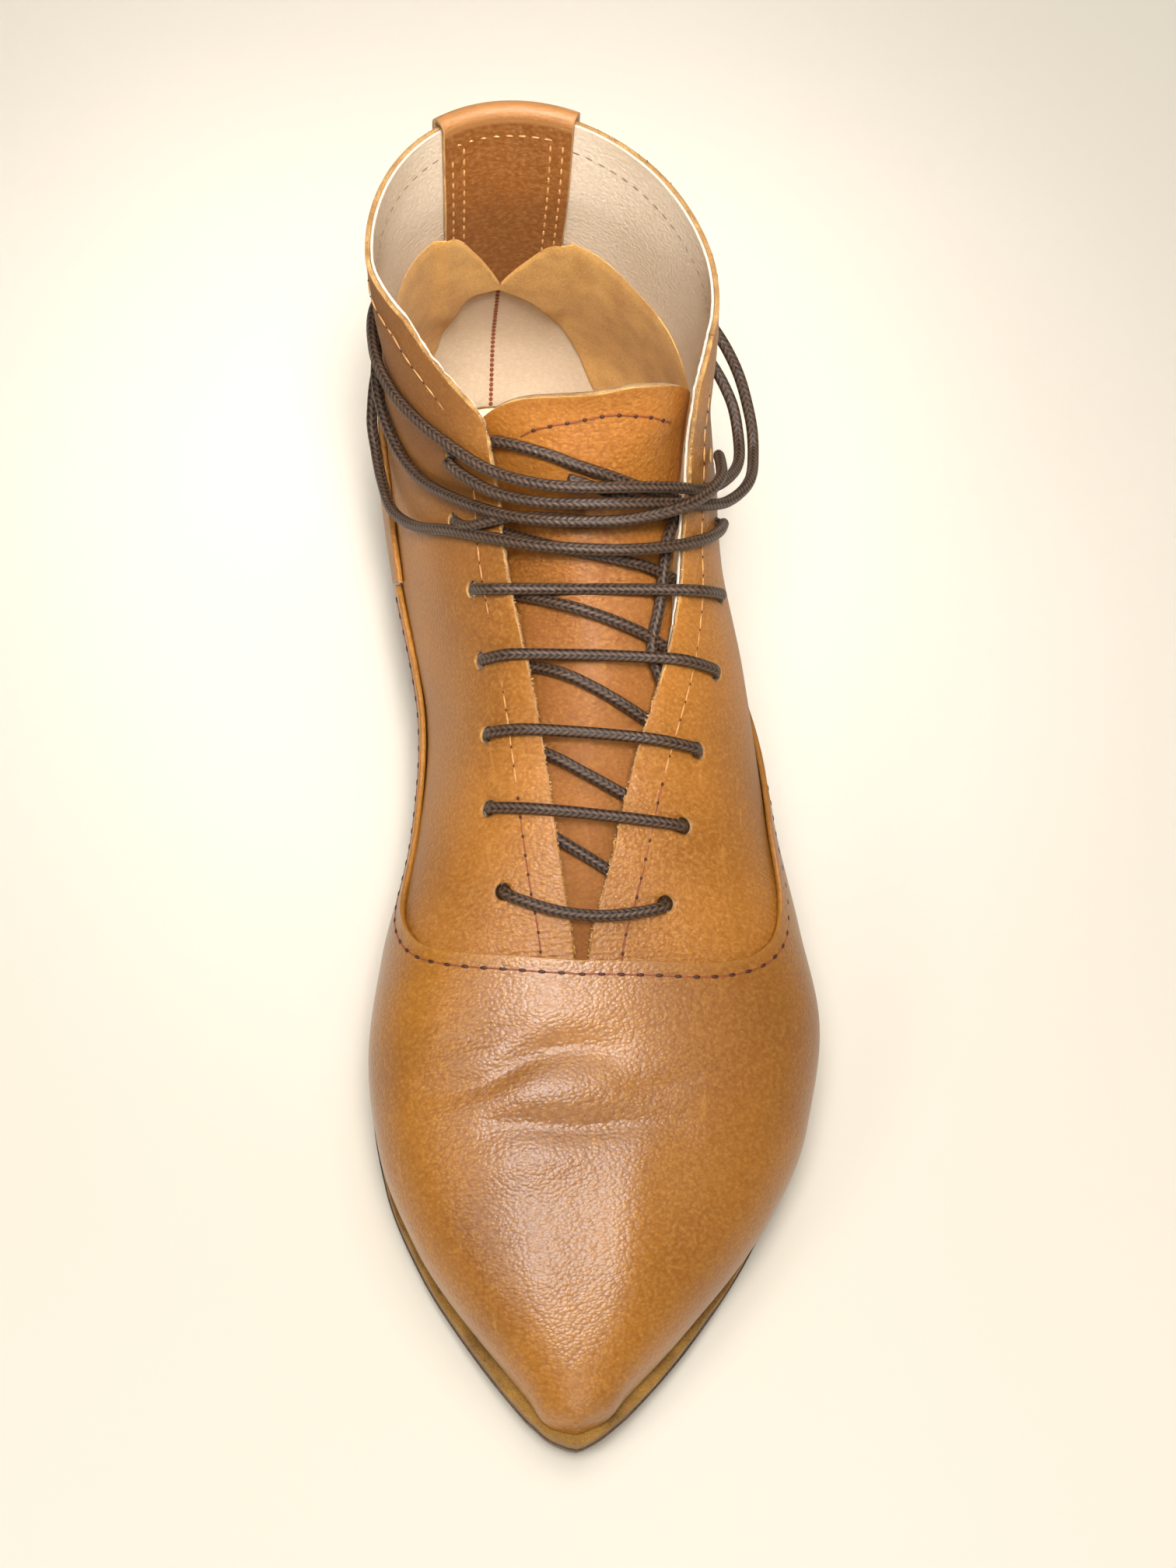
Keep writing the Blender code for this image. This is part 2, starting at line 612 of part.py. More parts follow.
def make_loose_lace():
    for name, route in (("lace_wrap", WRAP_ROUTE), ("lace_tail", TAIL_ROUTE)):
        points = [skin(*stop) for stop in route]
        tube(name, smooth_route(points, LACE_STEP))


def main():
    for old in list(bpy.data.objects):
        bpy.data.objects.remove(old, do_unlink=True)
    make_soles()
    make_upper()
    make_vamp()
    make_counter()
    make_tongue()
    make_back_tab()
    make_lacing()
    make_loose_lace()


main()
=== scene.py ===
import math

import bmesh
import bpy
import numpy as np
from mathutils import Euler, Matrix, Vector
from mathutils.kdtree import KDTree


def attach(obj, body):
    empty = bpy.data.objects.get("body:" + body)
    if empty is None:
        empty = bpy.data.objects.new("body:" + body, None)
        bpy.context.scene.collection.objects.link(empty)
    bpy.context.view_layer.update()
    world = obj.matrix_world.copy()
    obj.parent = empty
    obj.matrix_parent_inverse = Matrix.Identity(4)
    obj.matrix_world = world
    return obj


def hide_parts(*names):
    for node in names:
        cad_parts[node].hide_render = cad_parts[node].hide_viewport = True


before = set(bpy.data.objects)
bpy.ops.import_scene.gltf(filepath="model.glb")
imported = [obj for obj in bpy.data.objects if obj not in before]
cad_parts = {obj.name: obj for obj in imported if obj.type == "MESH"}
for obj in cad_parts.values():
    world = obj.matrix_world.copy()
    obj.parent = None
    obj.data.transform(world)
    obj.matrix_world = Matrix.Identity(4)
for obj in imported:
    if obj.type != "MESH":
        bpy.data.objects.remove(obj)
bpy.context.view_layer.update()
print("frame loaded:", len(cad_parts), "nodes")

mm = 0.001
halfPi = math.pi / 2
lateral, medial = 1, -1  # outer side +X, inner side -X

# camera: the photo's own place over the toe, swung to the one boot and drawn closer
view = {"place": (-61.5, -464.5, 703.0), "down": 61.0, "turn": -3.35, "aim": (12.0, -98.0, 50.0),
        "lens": 75.5, "sensor": 36.0}


def addObject(name, data):
    made = bpy.data.objects.new(name, data)
    bpy.context.scene.collection.objects.link(made)
    return made


def makeCamera():
    data = bpy.data.cameras.new("camera")
    data.sensor_fit = "AUTO"
    data.sensor_width = view["sensor"]
    data.lens = view["lens"]
    data.dof.use_dof = False
    camera = addObject("camera", data)
    camera.location = Vector(view["place"]) * mm
    taken = Euler((math.radians(90 - view["down"]), 0, math.radians(view["turn"])))
    sight = Vector((0, 0, -1))
    sight.rotate(taken)
    swing = sight.rotation_difference(Vector(view["aim"]) * mm - camera.location)
    camera.rotation_euler = (swing @ taken.to_quaternion()).to_euler()
    bpy.context.scene.camera = camera


makeCamera()

# the last, as sections from the toe tip (0) to the collar (16); d runs forward from the heel back
lastColumns = ("name", "lowD", "lowZ", "lowX", "ridgeD", "ridgeZ", "ridgeX",
               "featherM", "featherL", "wideM", "wideL", "rise", "fullM", "fullL")
lastRows = (
    ("tip",    267.2, 12.0, -1.2, 266.6,  18, -1.2,  0,  0,    0,    0, .45, 2.0, 2.0),
    ("nose",   265.4, 11.8, -1.2, 264.0,  21, -1.4, 3.6, 4.0, 5.7, 6.4, .45, 2.1, 2.1),
    ("toe",      261, 11.3, -0.8, 258.5,  25, -1.6, 6.4, 7.4, 9.0, 11.0, .45, 2.1, 2.1),
    ("toeBox",   246, 10.0,  0.0, 243.0,  32, -1.6, 15.9, 20.4, 20.2, 26.4, .42, 2.3, 2.3),
    ("toeRoot",  225,  8.2,  2.0, 222.0,  39,  0, 28, 34,   34,   43, .40, 2.3, 2.3),
    ("tread",    204,  7.0,  4.0, 202.0,  46,  2, 36, 43,   42,   52, .38, 2.3, 2.3),
    ("ball",     183,  7.0,  5.0, 182.0,  54,  5, 39, 47,   45,   55, .38, 2.2, 2.2),
    ("joint",    158,  8.0,  6.0, 162.0,  64,  7, 35, 44, 41.8, 51.2, .36, 2.1, 2.1),
    ("waist",    128, 12.0,  7.0, 140.0,  75, 10, 28, 38, 35.2, 45.2, .38, 2.0, 2.0),
    ("arch",      92, 20.0,  5.0, 115.0,  88, 13, 21, 31,   31,   42, .38, 2.0, 2.0),
    ("breast",    52, 26.0,  1.0, 101.0,  97, 14, 23, 28,   32,   40, .40, 2.0, 2.0),
    ("seat",      20, 27.0,  0.0,  95.0, 102, 14, 24, 26,   33,   40, .44, 2.0, 2.0),
    ("back",       3, 27.0,  0.0,  91.0, 106, 14, 25, 27,   34,   39, .48, 2.0, 2.0),
    ("heel",       0, 50.0,  0.0,  87.0, 111, 13, 26, 28,   35,   38, .50, 2.0, 2.0),
    ("ankle",      5, 85.0,  0.0,  82.0, 117, 12, 26, 28,   36,   37, .50, 1.9, 2.2),
    ("shaft",      5,  112,  0.0,  78.0, 122, 10, 26, 28, 37.5,   38, .50, 1.8, 2.4),
    ("collar",     1,  135,  0.0,  76.0, 126,  9, 26, 28, 38.5, 38.5, .50, 1.7, 2.5),
)
backRow, collarRow = 12, 16
roundRows = ((27, 27), (50, 40), (85, 41), (135, 42))  # height, depth of the heel's curve in plan
throatRows = (  # section, medial and lateral half width of the throat
    (6.2, 1.3, 1.4), (6.6, 2.3, 2.5), (7.0, 4.2, 4.8), (8.0, 9.3, 9.2), (9.0, 15.0, 17.0), (10.0, 18.3, 21.2),
    (11.0, 19.3, 22.4), (13.0, 19.8, 26.0), (14.3, 20.6, 28.0), (15.0, 25.0, 30.0), (16.0, 33.0, 34.0),
)
boot = {"heelCentre": 30.0, "probe": 0.01, "weld": 0.02, "inside": (0, -60, 45)}
bothSides = (medial, lateral)


def cubic(t, width, start, stop, slopeStart, slopeStop):  # from one knot to the next
    return ((1 + 2 * t) * (1 - t) ** 2 * start + t * (1 - t) ** 2 * slopeStart * width
            + t * t * (3 - 2 * t) * stop + t * t * (t - 1) * slopeStop * width)


def curveThrough(knots, values):  # smooth curve that never swings past its values
    knots, values = np.array(knots, float), np.array(values, float)
    width = np.diff(knots)
    rise = np.diff(values) / width
    slope = np.concatenate(([rise[0]], np.zeros(len(rise) - 1), [rise[-1]]))
    for i in range(1, len(rise)):
        if rise[i - 1] * rise[i] > 0:
            before = 2 * width[i] + width[i - 1]
            after = width[i] + 2 * width[i - 1]
            slope[i] = (before + after) / (before / rise[i - 1] + after / rise[i])

    def at(x):
        x = np.asarray(x, float)
        i = np.clip(np.searchsorted(knots, x) - 1, 0, len(width) - 1)
        t = (x - knots[i]) / width[i]
        inner = cubic(t, width[i], values[i], values[i + 1], slope[i], slope[i + 1])
        under = values[0] + slope[0] * (x - knots[0])
        over = values[-1] + slope[-1] * (x - knots[-1])
        return np.where(t < 0, under, np.where(t > 1, over, inner))
    return at


def tableCurve(rows, column, knot=0):
    return curveThrough([row[knot] for row in rows], [row[column] for row in rows])


def unit(vectors):
    return vectors / np.maximum(np.linalg.norm(vectors, axis=-1, keepdims=True), 1e-9)


def stepLengths(path):
    return np.linalg.norm(np.diff(path, axis=0), axis=1)


def distances(path):  # how far along the path each of its points lies
    return np.concatenate(([0], np.cumsum(stepLengths(path))))


def ramp(values, start, reach):  # 0 up to the start, 1 past the reach
    return np.clip((values - start) / reach, 0, 1)


def readLine(line, share):  # the columns of a line of points, at shares from 0 to 1 of its points
    return [np.interp(share * (len(line) - 1), np.arange(len(line)), column) for column in np.transpose(line)]


last = {name: curveThrough(range(len(lastRows)), [row[i] for row in lastRows])
        for i, name in enumerate(lastColumns) if i > 0}
backLine = tableCurve(lastRows[backRow:], 1, knot=2)
seatLine = tableCurve(lastRows[backRow::-1], 2, knot=1)
heelRound = tableCurve(roundRows, 1)
throat = {medial: tableCurve(throatRows, 1), lateral: tableCurve(throatRows, 2)}


def sideValue(name, section, side):
    return np.where(side > 0, last[name + "L"](section), last[name + "M"](section))


def lowPoint(section):
    height = last["lowZ"](section)
    forward = np.where(section > backRow, backLine(height), last["lowD"](section))
    return np.stack([last["lowX"](section), boot["heelCentre"] - forward, height], -1)


def ridgePoint(section):
    return np.stack([last["ridgeX"](section), boot["heelCentre"] - last["ridgeD"](section),
                     last["ridgeZ"](section)], -1)


def roundShare(point):  # share of the half width that is left near the back line
    forward = boot["heelCentre"] - point[..., 1] - backLine(point[..., 2])
    lack = 1 - np.clip(forward / heelRound(point[..., 2]), 0, 1)
    return np.sqrt(1 - lack * lack)


def lastPoint(section, angle, side):  # angle -90 degrees at the feather or back seam, 90 at the ridge
    section, angle, side = np.broadcast_arrays(*(np.asarray(x, float) for x in (section, angle, side)))
    feather, wide = sideValue("feather", section, side), sideValue("wide", section, side)
    power = 2 / sideValue("full", section, side)
    rise = last["rise"](section)
    low, ridge = lowPoint(section), ridgePoint(section)
    up = np.minimum(np.abs(np.sin(angle)), 1)
    share = np.where(angle < 0, rise * (1 - up), rise + (1 - rise) * up ** power)
    point = low + (ridge - low) * share[..., None]
    seat = last["lowZ"](np.minimum(section, backRow))
    tuck = 1 - np.clip((point[..., 2] - seat) / (rise * (ridge[..., 2] - seat)), 0, 1)
    under = feather + (wide - feather) * np.sqrt(1 - tuck * tuck)
    over = wide * np.maximum(np.cos(angle), 0) ** power
    point[..., 0] += side * np.where(angle < 0, under, over) * roundShare(point)
    return point


def slopes(section, angle, side):  # how the surface runs along the foot and round it
    section, angle = np.asarray(section, float), np.asarray(angle, float)
    step = boot["probe"]
    ahead, behind = np.minimum(section + step, collarRow), np.maximum(section - step, 0)
    over, under = np.minimum(angle + step, halfPi), np.maximum(angle - step, -halfPi)
    along = (lastPoint(ahead, angle, side) - lastPoint(behind, angle, side)) / (ahead - behind)[..., None]
    around = (lastPoint(section, over, side) - lastPoint(section, under, side)) / (over - under)[..., None]
    return along, around


def skinNormal(section, angle, side):
    section, angle, side = np.broadcast_arrays(*(np.asarray(x, float) for x in (section, angle, side)))
    along, around = slopes(section, angle, side)
    normal = np.cross(along, around) * side[..., None]
    step = boot["probe"]
    onSeam = (section >= backRow) & (angle <= -halfPi + step)
    normal[..., 0] = np.where((section <= step) | (angle >= halfPi - step) | onSeam, 0, normal[..., 0])
    return unit(normal)


def skin(section, angle, side, lift=0.0):
    lift = np.asarray(lift, float)
    return lastPoint(section, angle, side) + skinNormal(section, angle, side) * lift[..., None]


def surfaceRow(section, angle, side, lift):
    return skin(section, angle, side, lift), skinNormal(section, angle, side)


def angleAt(section, reach, side):  # angle of the point at a sideways reach from the ridge line
    share = np.clip(reach / sideValue("wide", section, side), 0, 1)
    return np.arccos(share ** (sideValue("full", section, side) / 2))


def acrossAt(section, across):  # angle and side of the point at a reach, medial below zero
    side = np.where(across >= 0, lateral, medial)
    return angleAt(section, np.abs(across), side), side


def backAngle(section, reach, side, halvings=30):  # angle of the point at a sideways reach from the back seam
    low, high = np.full_like(section, -halfPi), np.zeros_like(section)
    for _ in range(halvings):
        middle = (low + high) / 2
        short = np.abs(lastPoint(section, middle, side)[..., 0] - last["lowX"](section)) < reach
        low, high = np.where(short, middle, low), np.where(short, high, middle)
    return low


def throatAngle(section, side, trim=0.0):  # angle of the throat's edge, which closes toward the toe
    opened = angleAt(section, throat[side](section) + trim, side)
    return np.where(section <= throatRows[0][0], halfPi, opened)


def smoothRoute(points, step):  # evenly spaced points on a smooth curve through the route
    points = np.array(points, float)
    knots = distances(points)
    slope = np.empty_like(points)
    slope[1:-1] = (points[2:] - points[:-2]) / (knots[2:] - knots[:-2])[:, None]
    slope[0] = (points[1] - points[0]) / (knots[1] - knots[0])
    slope[-1] = (points[-1] - points[-2]) / (knots[-1] - knots[-2])
    at = np.linspace(0, knots[-1], max(round(knots[-1] / step), 1) + 1)
    i = np.clip(np.searchsorted(knots, at) - 1, 0, len(knots) - 2)
    width = (knots[i + 1] - knots[i])[:, None]
    t = (at - knots[i])[:, None] / width
    return cubic(t, width, points[i], points[i + 1], slope[i], slope[i + 1])


def moveAcross(section, angle, side, distance, steps=4, clear=0.93):  # moves a line of the surface sideways
    section, angle = np.array(section, float), np.array(angle, float)
    start = lastPoint(section, angle, side)
    for _ in range(steps):
        run = np.gradient(lastPoint(section, angle, side), axis=0)
        inward = np.cross(run, skinNormal(section, angle, side)) * side
        inward *= distance / steps / np.maximum(np.linalg.norm(inward, axis=-1, keepdims=True), 1e-9)
        along, around = slopes(section, angle, side)
        aa, ab, bb = (along * along).sum(-1), (along * around).sum(-1), (around * around).sum(-1)
        pa, pb = (along * inward).sum(-1), (around * inward).sum(-1)
        area = np.maximum(aa * bb - ab * ab, 1e-9)
        section = np.clip(section + (pa * bb - pb * ab) / area, 0, collarRow)
        angle = np.clip(angle + (pb * aa - pa * ab) / area, -halfPi, halfPi)
    # drops what doubles back in a bend
    kept = nearest(lastPoint(section, angle, side), start) > clear * distance
    return section[kept], angle[kept]


def softWaves(points, wave, seed, count=7, level=2.6):  # slow random swell of about one unit, wave in mm
    draw = np.random.RandomState(seed)
    total = np.zeros(points.shape[:-1])
    for _ in range(count):
        way = draw.normal(size=3)
        way *= 2 * math.pi / wave / np.linalg.norm(way) * draw.uniform(0.7, 1.4)
        total += np.sin(points @ way + draw.uniform(0, 6.28))
    return total / level


print("last ready")


# mesh tools
def narrowBorder(share, count, first=0.14, second=1.2):  # narrow outermost faces keep cut edges crisp
    cell = 1 / count
    return np.interp(share, (0, cell, 2 * cell, 1 - 2 * cell, 1 - cell, 1),
                     (0, first * cell, second * cell, 1 - second * cell, 1 - first * cell, 1))


def weld(bm):
    bmesh.ops.remove_doubles(bm, verts=bm.verts, dist=boot["weld"] * mm)


def gridBmesh(sheets):  # each sheet is columns, rows and a place for shares from 0 to 1, in mm
    bm = bmesh.new()
    bm.loops.layers.uv.new("surface")
    ends = [0]
    for columns, rows, _ in sheets:
        bmesh.ops.create_grid(bm, x_segments=columns, y_segments=rows, size=1, calc_uvs=True)
        ends.append(len(bm.verts))
    bm.verts.ensure_lookup_table()
    share = (np.array([vert.co[:2] for vert in bm.verts]) + 1) / 2
    for i, (columns, rows, place) in enumerate(sheets):
        across, along = share[ends[i]:ends[i + 1]].T
        spots = place(narrowBorder(across, columns), narrowBorder(along, rows)) * mm
        for vert, spot in zip(bm.verts[ends[i]:ends[i + 1]], spots):
            vert.co = spot
    return bm


def halvesBmesh(panel, place):  # the outer and the inner half of a panel
    return gridBmesh([(panel["columns"], panel["rows"], lambda u, v, side=side: place(side, u, v))
                      for side in (lateral, medial)])


def addPiece(name, bm, materials, sheet=False):
    weld(bm)
    bmesh.ops.dissolve_degenerate(bm, edges=bm.edges, dist=boot["weld"] * mm)
    bmesh.ops.recalc_face_normals(bm, faces=bm.faces)
    if sheet:  # an open sheet looks away from the inside of the boot
        inside = Vector(boot["inside"]) * mm
        facing = sum((face.calc_center_median() - inside).dot(face.normal) * face.calc_area()
                     for face in bm.faces)
        if facing < 0:
            bmesh.ops.reverse_faces(bm, faces=bm.faces)
    mesh = bpy.data.meshes.new(name)
    bm.to_mesh(mesh)
    bm.free()
    mesh.shade_smooth()
    for material in materials:
        mesh.materials.append(material)
    return addObject(name, mesh)


def addWall(piece, thickness, outward):  # rim takes the second material, inside the third
    wall = piece.modifiers.new("wall", "SOLIDIFY")
    wall.thickness = thickness * mm
    wall.offset = 1 if outward else -1
    wall.material_offset_rim = 1
    wall.material_offset = 2


def setValue(piece, name, values):
    layer = piece.data.attributes.new(name, "FLOAT", "POINT")
    layer.data.foreach_set("value", np.asarray(values, np.float32))


def meshPoints(piece):  # the piece's points in mm
    flat = np.empty(len(piece.data.vertices) * 3, np.float32)
    piece.data.vertices.foreach_get("co", flat)
    return flat.reshape(-1, 3).astype(float) / mm


def nearest(points, line):  # distance of each point from a line of points
    tree = KDTree(len(line))
    for i, spot in enumerate(line):
        tree.insert(spot, i)
    tree.balance()
    return np.array([tree.find(point)[2] for point in points])


def wearEdge(piece, line, reach, most):  # the leather turns pale close to a line
    setValue(piece, "paler", np.clip(1 - nearest(meshPoints(piece), line) / reach, 0, 1) * most)


def dress(piece, slot, *nodes):
    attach(piece, "root")
    if nodes:
        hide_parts(*nodes)


def addPanel(name, bm, materials, thickness, slot, *nodes, outward=False):  # a sheet with its thickness
    piece = addPiece(name, bm, materials, sheet=True)
    addWall(piece, thickness, outward)
    dress(piece, slot, *nodes)
    return piece


# materials
def linear(code):  # sRGB hex to a linear colour
    parts = [int(code[i:i + 2], 16) / 255 for i in (1, 3, 5)]
    return (*(c / 12.92 if c <= 0.04045 else ((c + 0.055) / 1.055) ** 2.4 for c in parts), 1.0)


def perMm(size):  # texture scale for a pattern of that size in mm
    return 1 / (size * mm)


def addNode(tree, kind, inputs=None, **settings):
    made = tree.nodes.new(kind)
    for name, value in settings.items():
        setattr(made, name, value)
    for name, value in (inputs or {}).items():
        if isinstance(value, bpy.types.NodeSocket):
            tree.links.new(value, made.inputs[name])
        else:
            made.inputs[name].default_value = value
    return made


def newMaterial(name, roughness, ior):  # also gives the tree, the shader and the place on the piece
    material = bpy.data.materials.new(name)
    material.use_nodes = True
    tree = material.node_tree
    shader = tree.nodes["Principled BSDF"]
    shader.inputs["Roughness"].default_value = roughness
    shader.inputs["IOR"].default_value = ior
    return material, tree, shader, addNode(tree, "ShaderNodeTexCoord").outputs["Object"]


def noise(tree, spot, size, detail, roughness=0.5):  # random pattern of a size in mm
    return addNode(tree, "ShaderNodeTexNoise", {"Vector": spot, "Scale": perMm(size), "Detail": detail,
                                                "Roughness": roughness}).outputs["Fac"]


def reckon(tree, operation, *values):
    return addNode(tree, "ShaderNodeMath", dict(enumerate(values)), operation=operation).outputs["Value"]


def spread(tree, value, low, high, least=0.0, most=1.0):  # maps low to least and high to most
    return addNode(tree, "ShaderNodeMapRange", {"Value": value, "From Min": low, "From Max": high,
                                                "To Min": least, "To Max": most}).outputs["Result"]


def blend(tree, share, first, second):
    return addNode(tree, "ShaderNodeMixRGB",
                   {"Fac": share, "Color1": first, "Color2": second}).outputs["Color"]


def tint(tree, shader, share, dark, base):  # base colour between two tones
    tree.links.new(blend(tree, share, linear(dark), linear(base)), shader.inputs["Base Color"])


def relief(tree, shader, height, strength, depth):  # bumps of a depth in mm
    bump = addNode(tree, "ShaderNodeBump", {"Height": height, "Strength": strength, "Distance": depth * mm})
    tree.links.new(bump.outputs["Normal"], shader.inputs["Normal"])
    return bump.outputs["Normal"]


# the paintedShade tone is painted shade: a darker brown laid where the leather stands in shadow
tan = {  # oiled full-grain leather: fine creased grain, cloudy colour, pale hairline scratches; sizes in mm
    "cloud": 34.0, "streak": 0.9, "pebble": 0.72, "pore": 0.4, "scratch": 2.2, "wrinkle": 1.15, "depth": 0.22,
    "grainTurn": (0.3, 0.2, 0.6), "grainScale": (0.75, 1.0, 0.9), "hairTurn": (0.3, 0.2, 0.75),
    "hairScale": (1.0, 0.07, 0.6), "wavePeriod": 0.314, "bump": 0.7, "paintedShade": "#74420F", "dulling": 0.5,
    "shinier": 0.06, "duller": 0.08, "coatRoughness": 0.3,
}


def oiledLeather(name, base, dark, light, roughness=0.43, grain=1.0, coat=0.0):
    material, tree, shader, spot = newMaterial(name, roughness, ior=1.5)
    turned, thin = (addNode(tree, "ShaderNodeMapping", {"Vector": spot, "Rotation": tan[way + "Turn"],
                                                        "Scale": tan[way + "Scale"]}).outputs["Vector"]
                    for way in ("grain", "hair"))
    cloud = noise(tree, spot, tan["cloud"], detail=1.0)
    streak = noise(tree, turned, tan["streak"], detail=2.0)
    pore = noise(tree, spot, tan["pore"], detail=0.0)
    hair = noise(tree, thin, tan["scratch"], detail=2.0)
    pebble = addNode(tree, "ShaderNodeTexVoronoi",
                     {"Vector": turned, "Scale": perMm(tan["pebble"])}).outputs["Distance"]
    paler, paintedShade, wrinkle = (addNode(tree, "ShaderNodeAttribute", attribute_name=layer).outputs["Fac"]
                           for layer in ("paler", "paintedShade", "wrinkle"))
    # where each tone shows: source, its range, the most it covers, and the tone; the last tone is painted
    # shade
    colour = linear(dark)
    for source, low, high, most, tone in (
            (cloud, 0.32, 0.62, 1.0, base), (streak, 0.40, 0.72, 0.42, light),
            (pebble, 0.35, 0.85, 0.55, dark), (hair, 0.66, 0.76, 0.3, light),
            (paler, 0.0, 1.0, 1.0, light), (paintedShade, 0.0, 1.0, 1.0, tan["paintedShade"])):
        colour = blend(tree, spread(tree, source, low, high, most=most), colour, linear(tone))
    tree.links.new(colour, shader.inputs["Base Color"])
    # fine wrinkles run across the foot where the shoe bends; a wave of scale 1 repeats after wavePeriod
    fold = addNode(tree, "ShaderNodeTexWave",
                   {"Vector": spot, "Scale": tan["wavePeriod"] * perMm(tan["wrinkle"]), "Distortion": 5.0,
                    "Detail": 1.0, "Detail Scale": 0.5}, bands_direction="Y").outputs["Fac"]
    height = reckon(tree, "MULTIPLY", fold, wrinkle)
    for source, share in ((pebble, -1.0), (streak, 0.6), (pore, 0.3)):
        height = reckon(tree, "MULTIPLY_ADD", source, share, height)
    normal = relief(tree, shader, height, tan["bump"] * grain, tan["depth"])
    gloss = spread(tree, streak, 0.3, 0.7, roughness - tan["shinier"], roughness + tan["duller"])
    # where shade is painted the leather is also rougher
    tree.links.new(reckon(tree, "MULTIPLY_ADD", paintedShade, tan["dulling"], gloss), shader.inputs["Roughness"])
    shader.inputs["Coat Weight"].default_value = coat
    shader.inputs["Coat Roughness"].default_value = tan["coatRoughness"]
    tree.links.new(normal, shader.inputs["Coat Normal"])
    return material


def fibrousLeather(name, base, dark, size, roughness=0.85, depth=0.25):  # raw cut or suede: matt, fuzzy
    material, tree, shader, spot = newMaterial(name, roughness, ior=1.45)
    fibre = noise(tree, spot, size, detail=7.0, roughness=0.75)
    cloud = noise(tree, spot, size * 14, detail=2.0)
    mixed = reckon(tree, "MULTIPLY_ADD", cloud, 0.6, fibre)
    tint(tree, shader, spread(tree, mixed, 0.6, 1.0), dark, base)
    relief(tree, shader, fibre, strength=0.6, depth=depth)
    shader.inputs["Sheen Weight"].default_value = 0.15
    return material


def waxedCord(name):  # round braided cotton, waxed: herringbone strands with a dull shine
    cord = {"columns": 6.0, "pitch": 1.5, "base": "#6D5340", "dark": "#160E09", "wax": 1.6, "depth": 0.14}
    material, tree, shader, spot = newMaterial(name, roughness=0.5, ior=1.45)
    place = addNode(tree, "ShaderNodeUVMap", uv_map="surface").outputs["UV"]
    split = addNode(tree, "ShaderNodeSeparateXYZ", {"Vector": place})
    around = reckon(tree, "MULTIPLY", split.outputs["X"], cord["columns"])
    slant = reckon(tree, "PINGPONG", around, 1.0)
    along = reckon(tree, "MULTIPLY_ADD", split.outputs["Y"], 1 / cord["pitch"], slant)
    strand = reckon(tree, "SINE", reckon(tree, "MULTIPLY", along, 2 * math.pi))
    arch = reckon(tree, "SINE", reckon(tree, "MULTIPLY", slant, math.pi))
    weave = reckon(tree, "MULTIPLY_ADD", strand, 0.55, arch)
    wax = noise(tree, spot, cord["wax"], detail=2.0)
    height = reckon(tree, "MULTIPLY_ADD", wax, 0.6, weave)
    # painted highlight and shade: strand tops lighter and valleys between strands darker, mixed with a random
    # wax tone
    tint(tree, shader, spread(tree, height, 0.2, 2.1), cord["dark"], cord["base"])
    relief(tree, shader, height, strength=0.6, depth=cord["depth"])
    return material


def sewingThread(name, base, dark):  # twisted polyester thread: fine light and dark turns
    material, tree, shader, spot = newMaterial(name, roughness=0.55, ior=1.5)
    tint(tree, shader, noise(tree, spot, 0.9, detail=3.0), dark, base)
    return material


def stackedHeel(name):  # pressed leather lifts: thin dark lines between brown layers, waxed
    heel = {"flat": (0.12, 0.12, 1.0), "layer": 1.1, "depth": 0.15, "base": "#6E4A2A", "dark": "#33200F"}
    material, tree, shader, spot = newMaterial(name, roughness=0.5, ior=1.5)
    squash = addNode(tree, "ShaderNodeMapping", {"Vector": spot, "Scale": heel["flat"]}).outputs["Vector"]
    layer = noise(tree, squash, heel["layer"], detail=4.0)
    tint(tree, shader, layer, heel["dark"], heel["base"])
    relief(tree, shader, layer, strength=0.4, depth=heel["depth"])
    return material


quarterLeather = oiledLeather("tan_oiled_leather", "#AE6F28", "#905818", "#CE9549", roughness=0.43)
vampLeather = oiledLeather("tan_oiled_leather_vamp", "#A46714", "#87500E", "#C98F3A", roughness=0.44,
                           grain=0.65, coat=0.6)
tongueLeather = oiledLeather("tan_tongue_leather", "#B06C24", "#945614", "#D09644", roughness=0.52)
tabLeather = oiledLeather("brown_tab_leather", "#955925", "#7E4A1B", "#C48B52", roughness=0.47, grain=0.6)
rawEdge = fibrousLeather("raw_cut_leather", "#D9AE6C", "#94622C", 0.3)
fleshSide = fibrousLeather("leather_flesh_side", "#C79A62", "#A87840", 0.6)
liningLeather = oiledLeather("greige_lining_leather", "#EAD8BF", "#DCC6A8", "#F3E7D4", roughness=0.55,
                             grain=0.7)
liningEdge = fibrousLeather("lining_cut_edge", "#F2E8D8", "#DCCBB2", 0.4)
gripSuede = fibrousLeather("ochre_suede", "#EBB967", "#C48D46", 0.5, depth=0.3)
insoleLeather = oiledLeather("cream_insole_leather", "#EFDDBE", "#E4CBA2", "#F6EAD4", roughness=0.55,
                             grain=0.5)
weltLeather = fibrousLeather("raw_welt_leather", "#B5873C", "#745220", 0.5, depth=0.4)
soleLeather = fibrousLeather("dark_sole_leather", "#6E5746", "#38291E", 0.8, roughness=0.7)
heelLeather = stackedHeel("stacked_leather")
lacingCord = waxedCord("waxed_braided_cord")
redThread = sewingThread("red_brown_thread", "#A85A32", "#6E2E18")
paleThread = sewingThread("pale_thread", "#E6B478", "#B87A40")
greyThread = sewingThread("grey_thread", "#A08A6E", "#75624C")
# needle holes: very dark grains, painted shade where the holes lie in shadow
needleHoleShade = sewingThread("needle_hole", "#54200F", "#2C0E07")
print("materials ready:", len(bpy.data.materials))


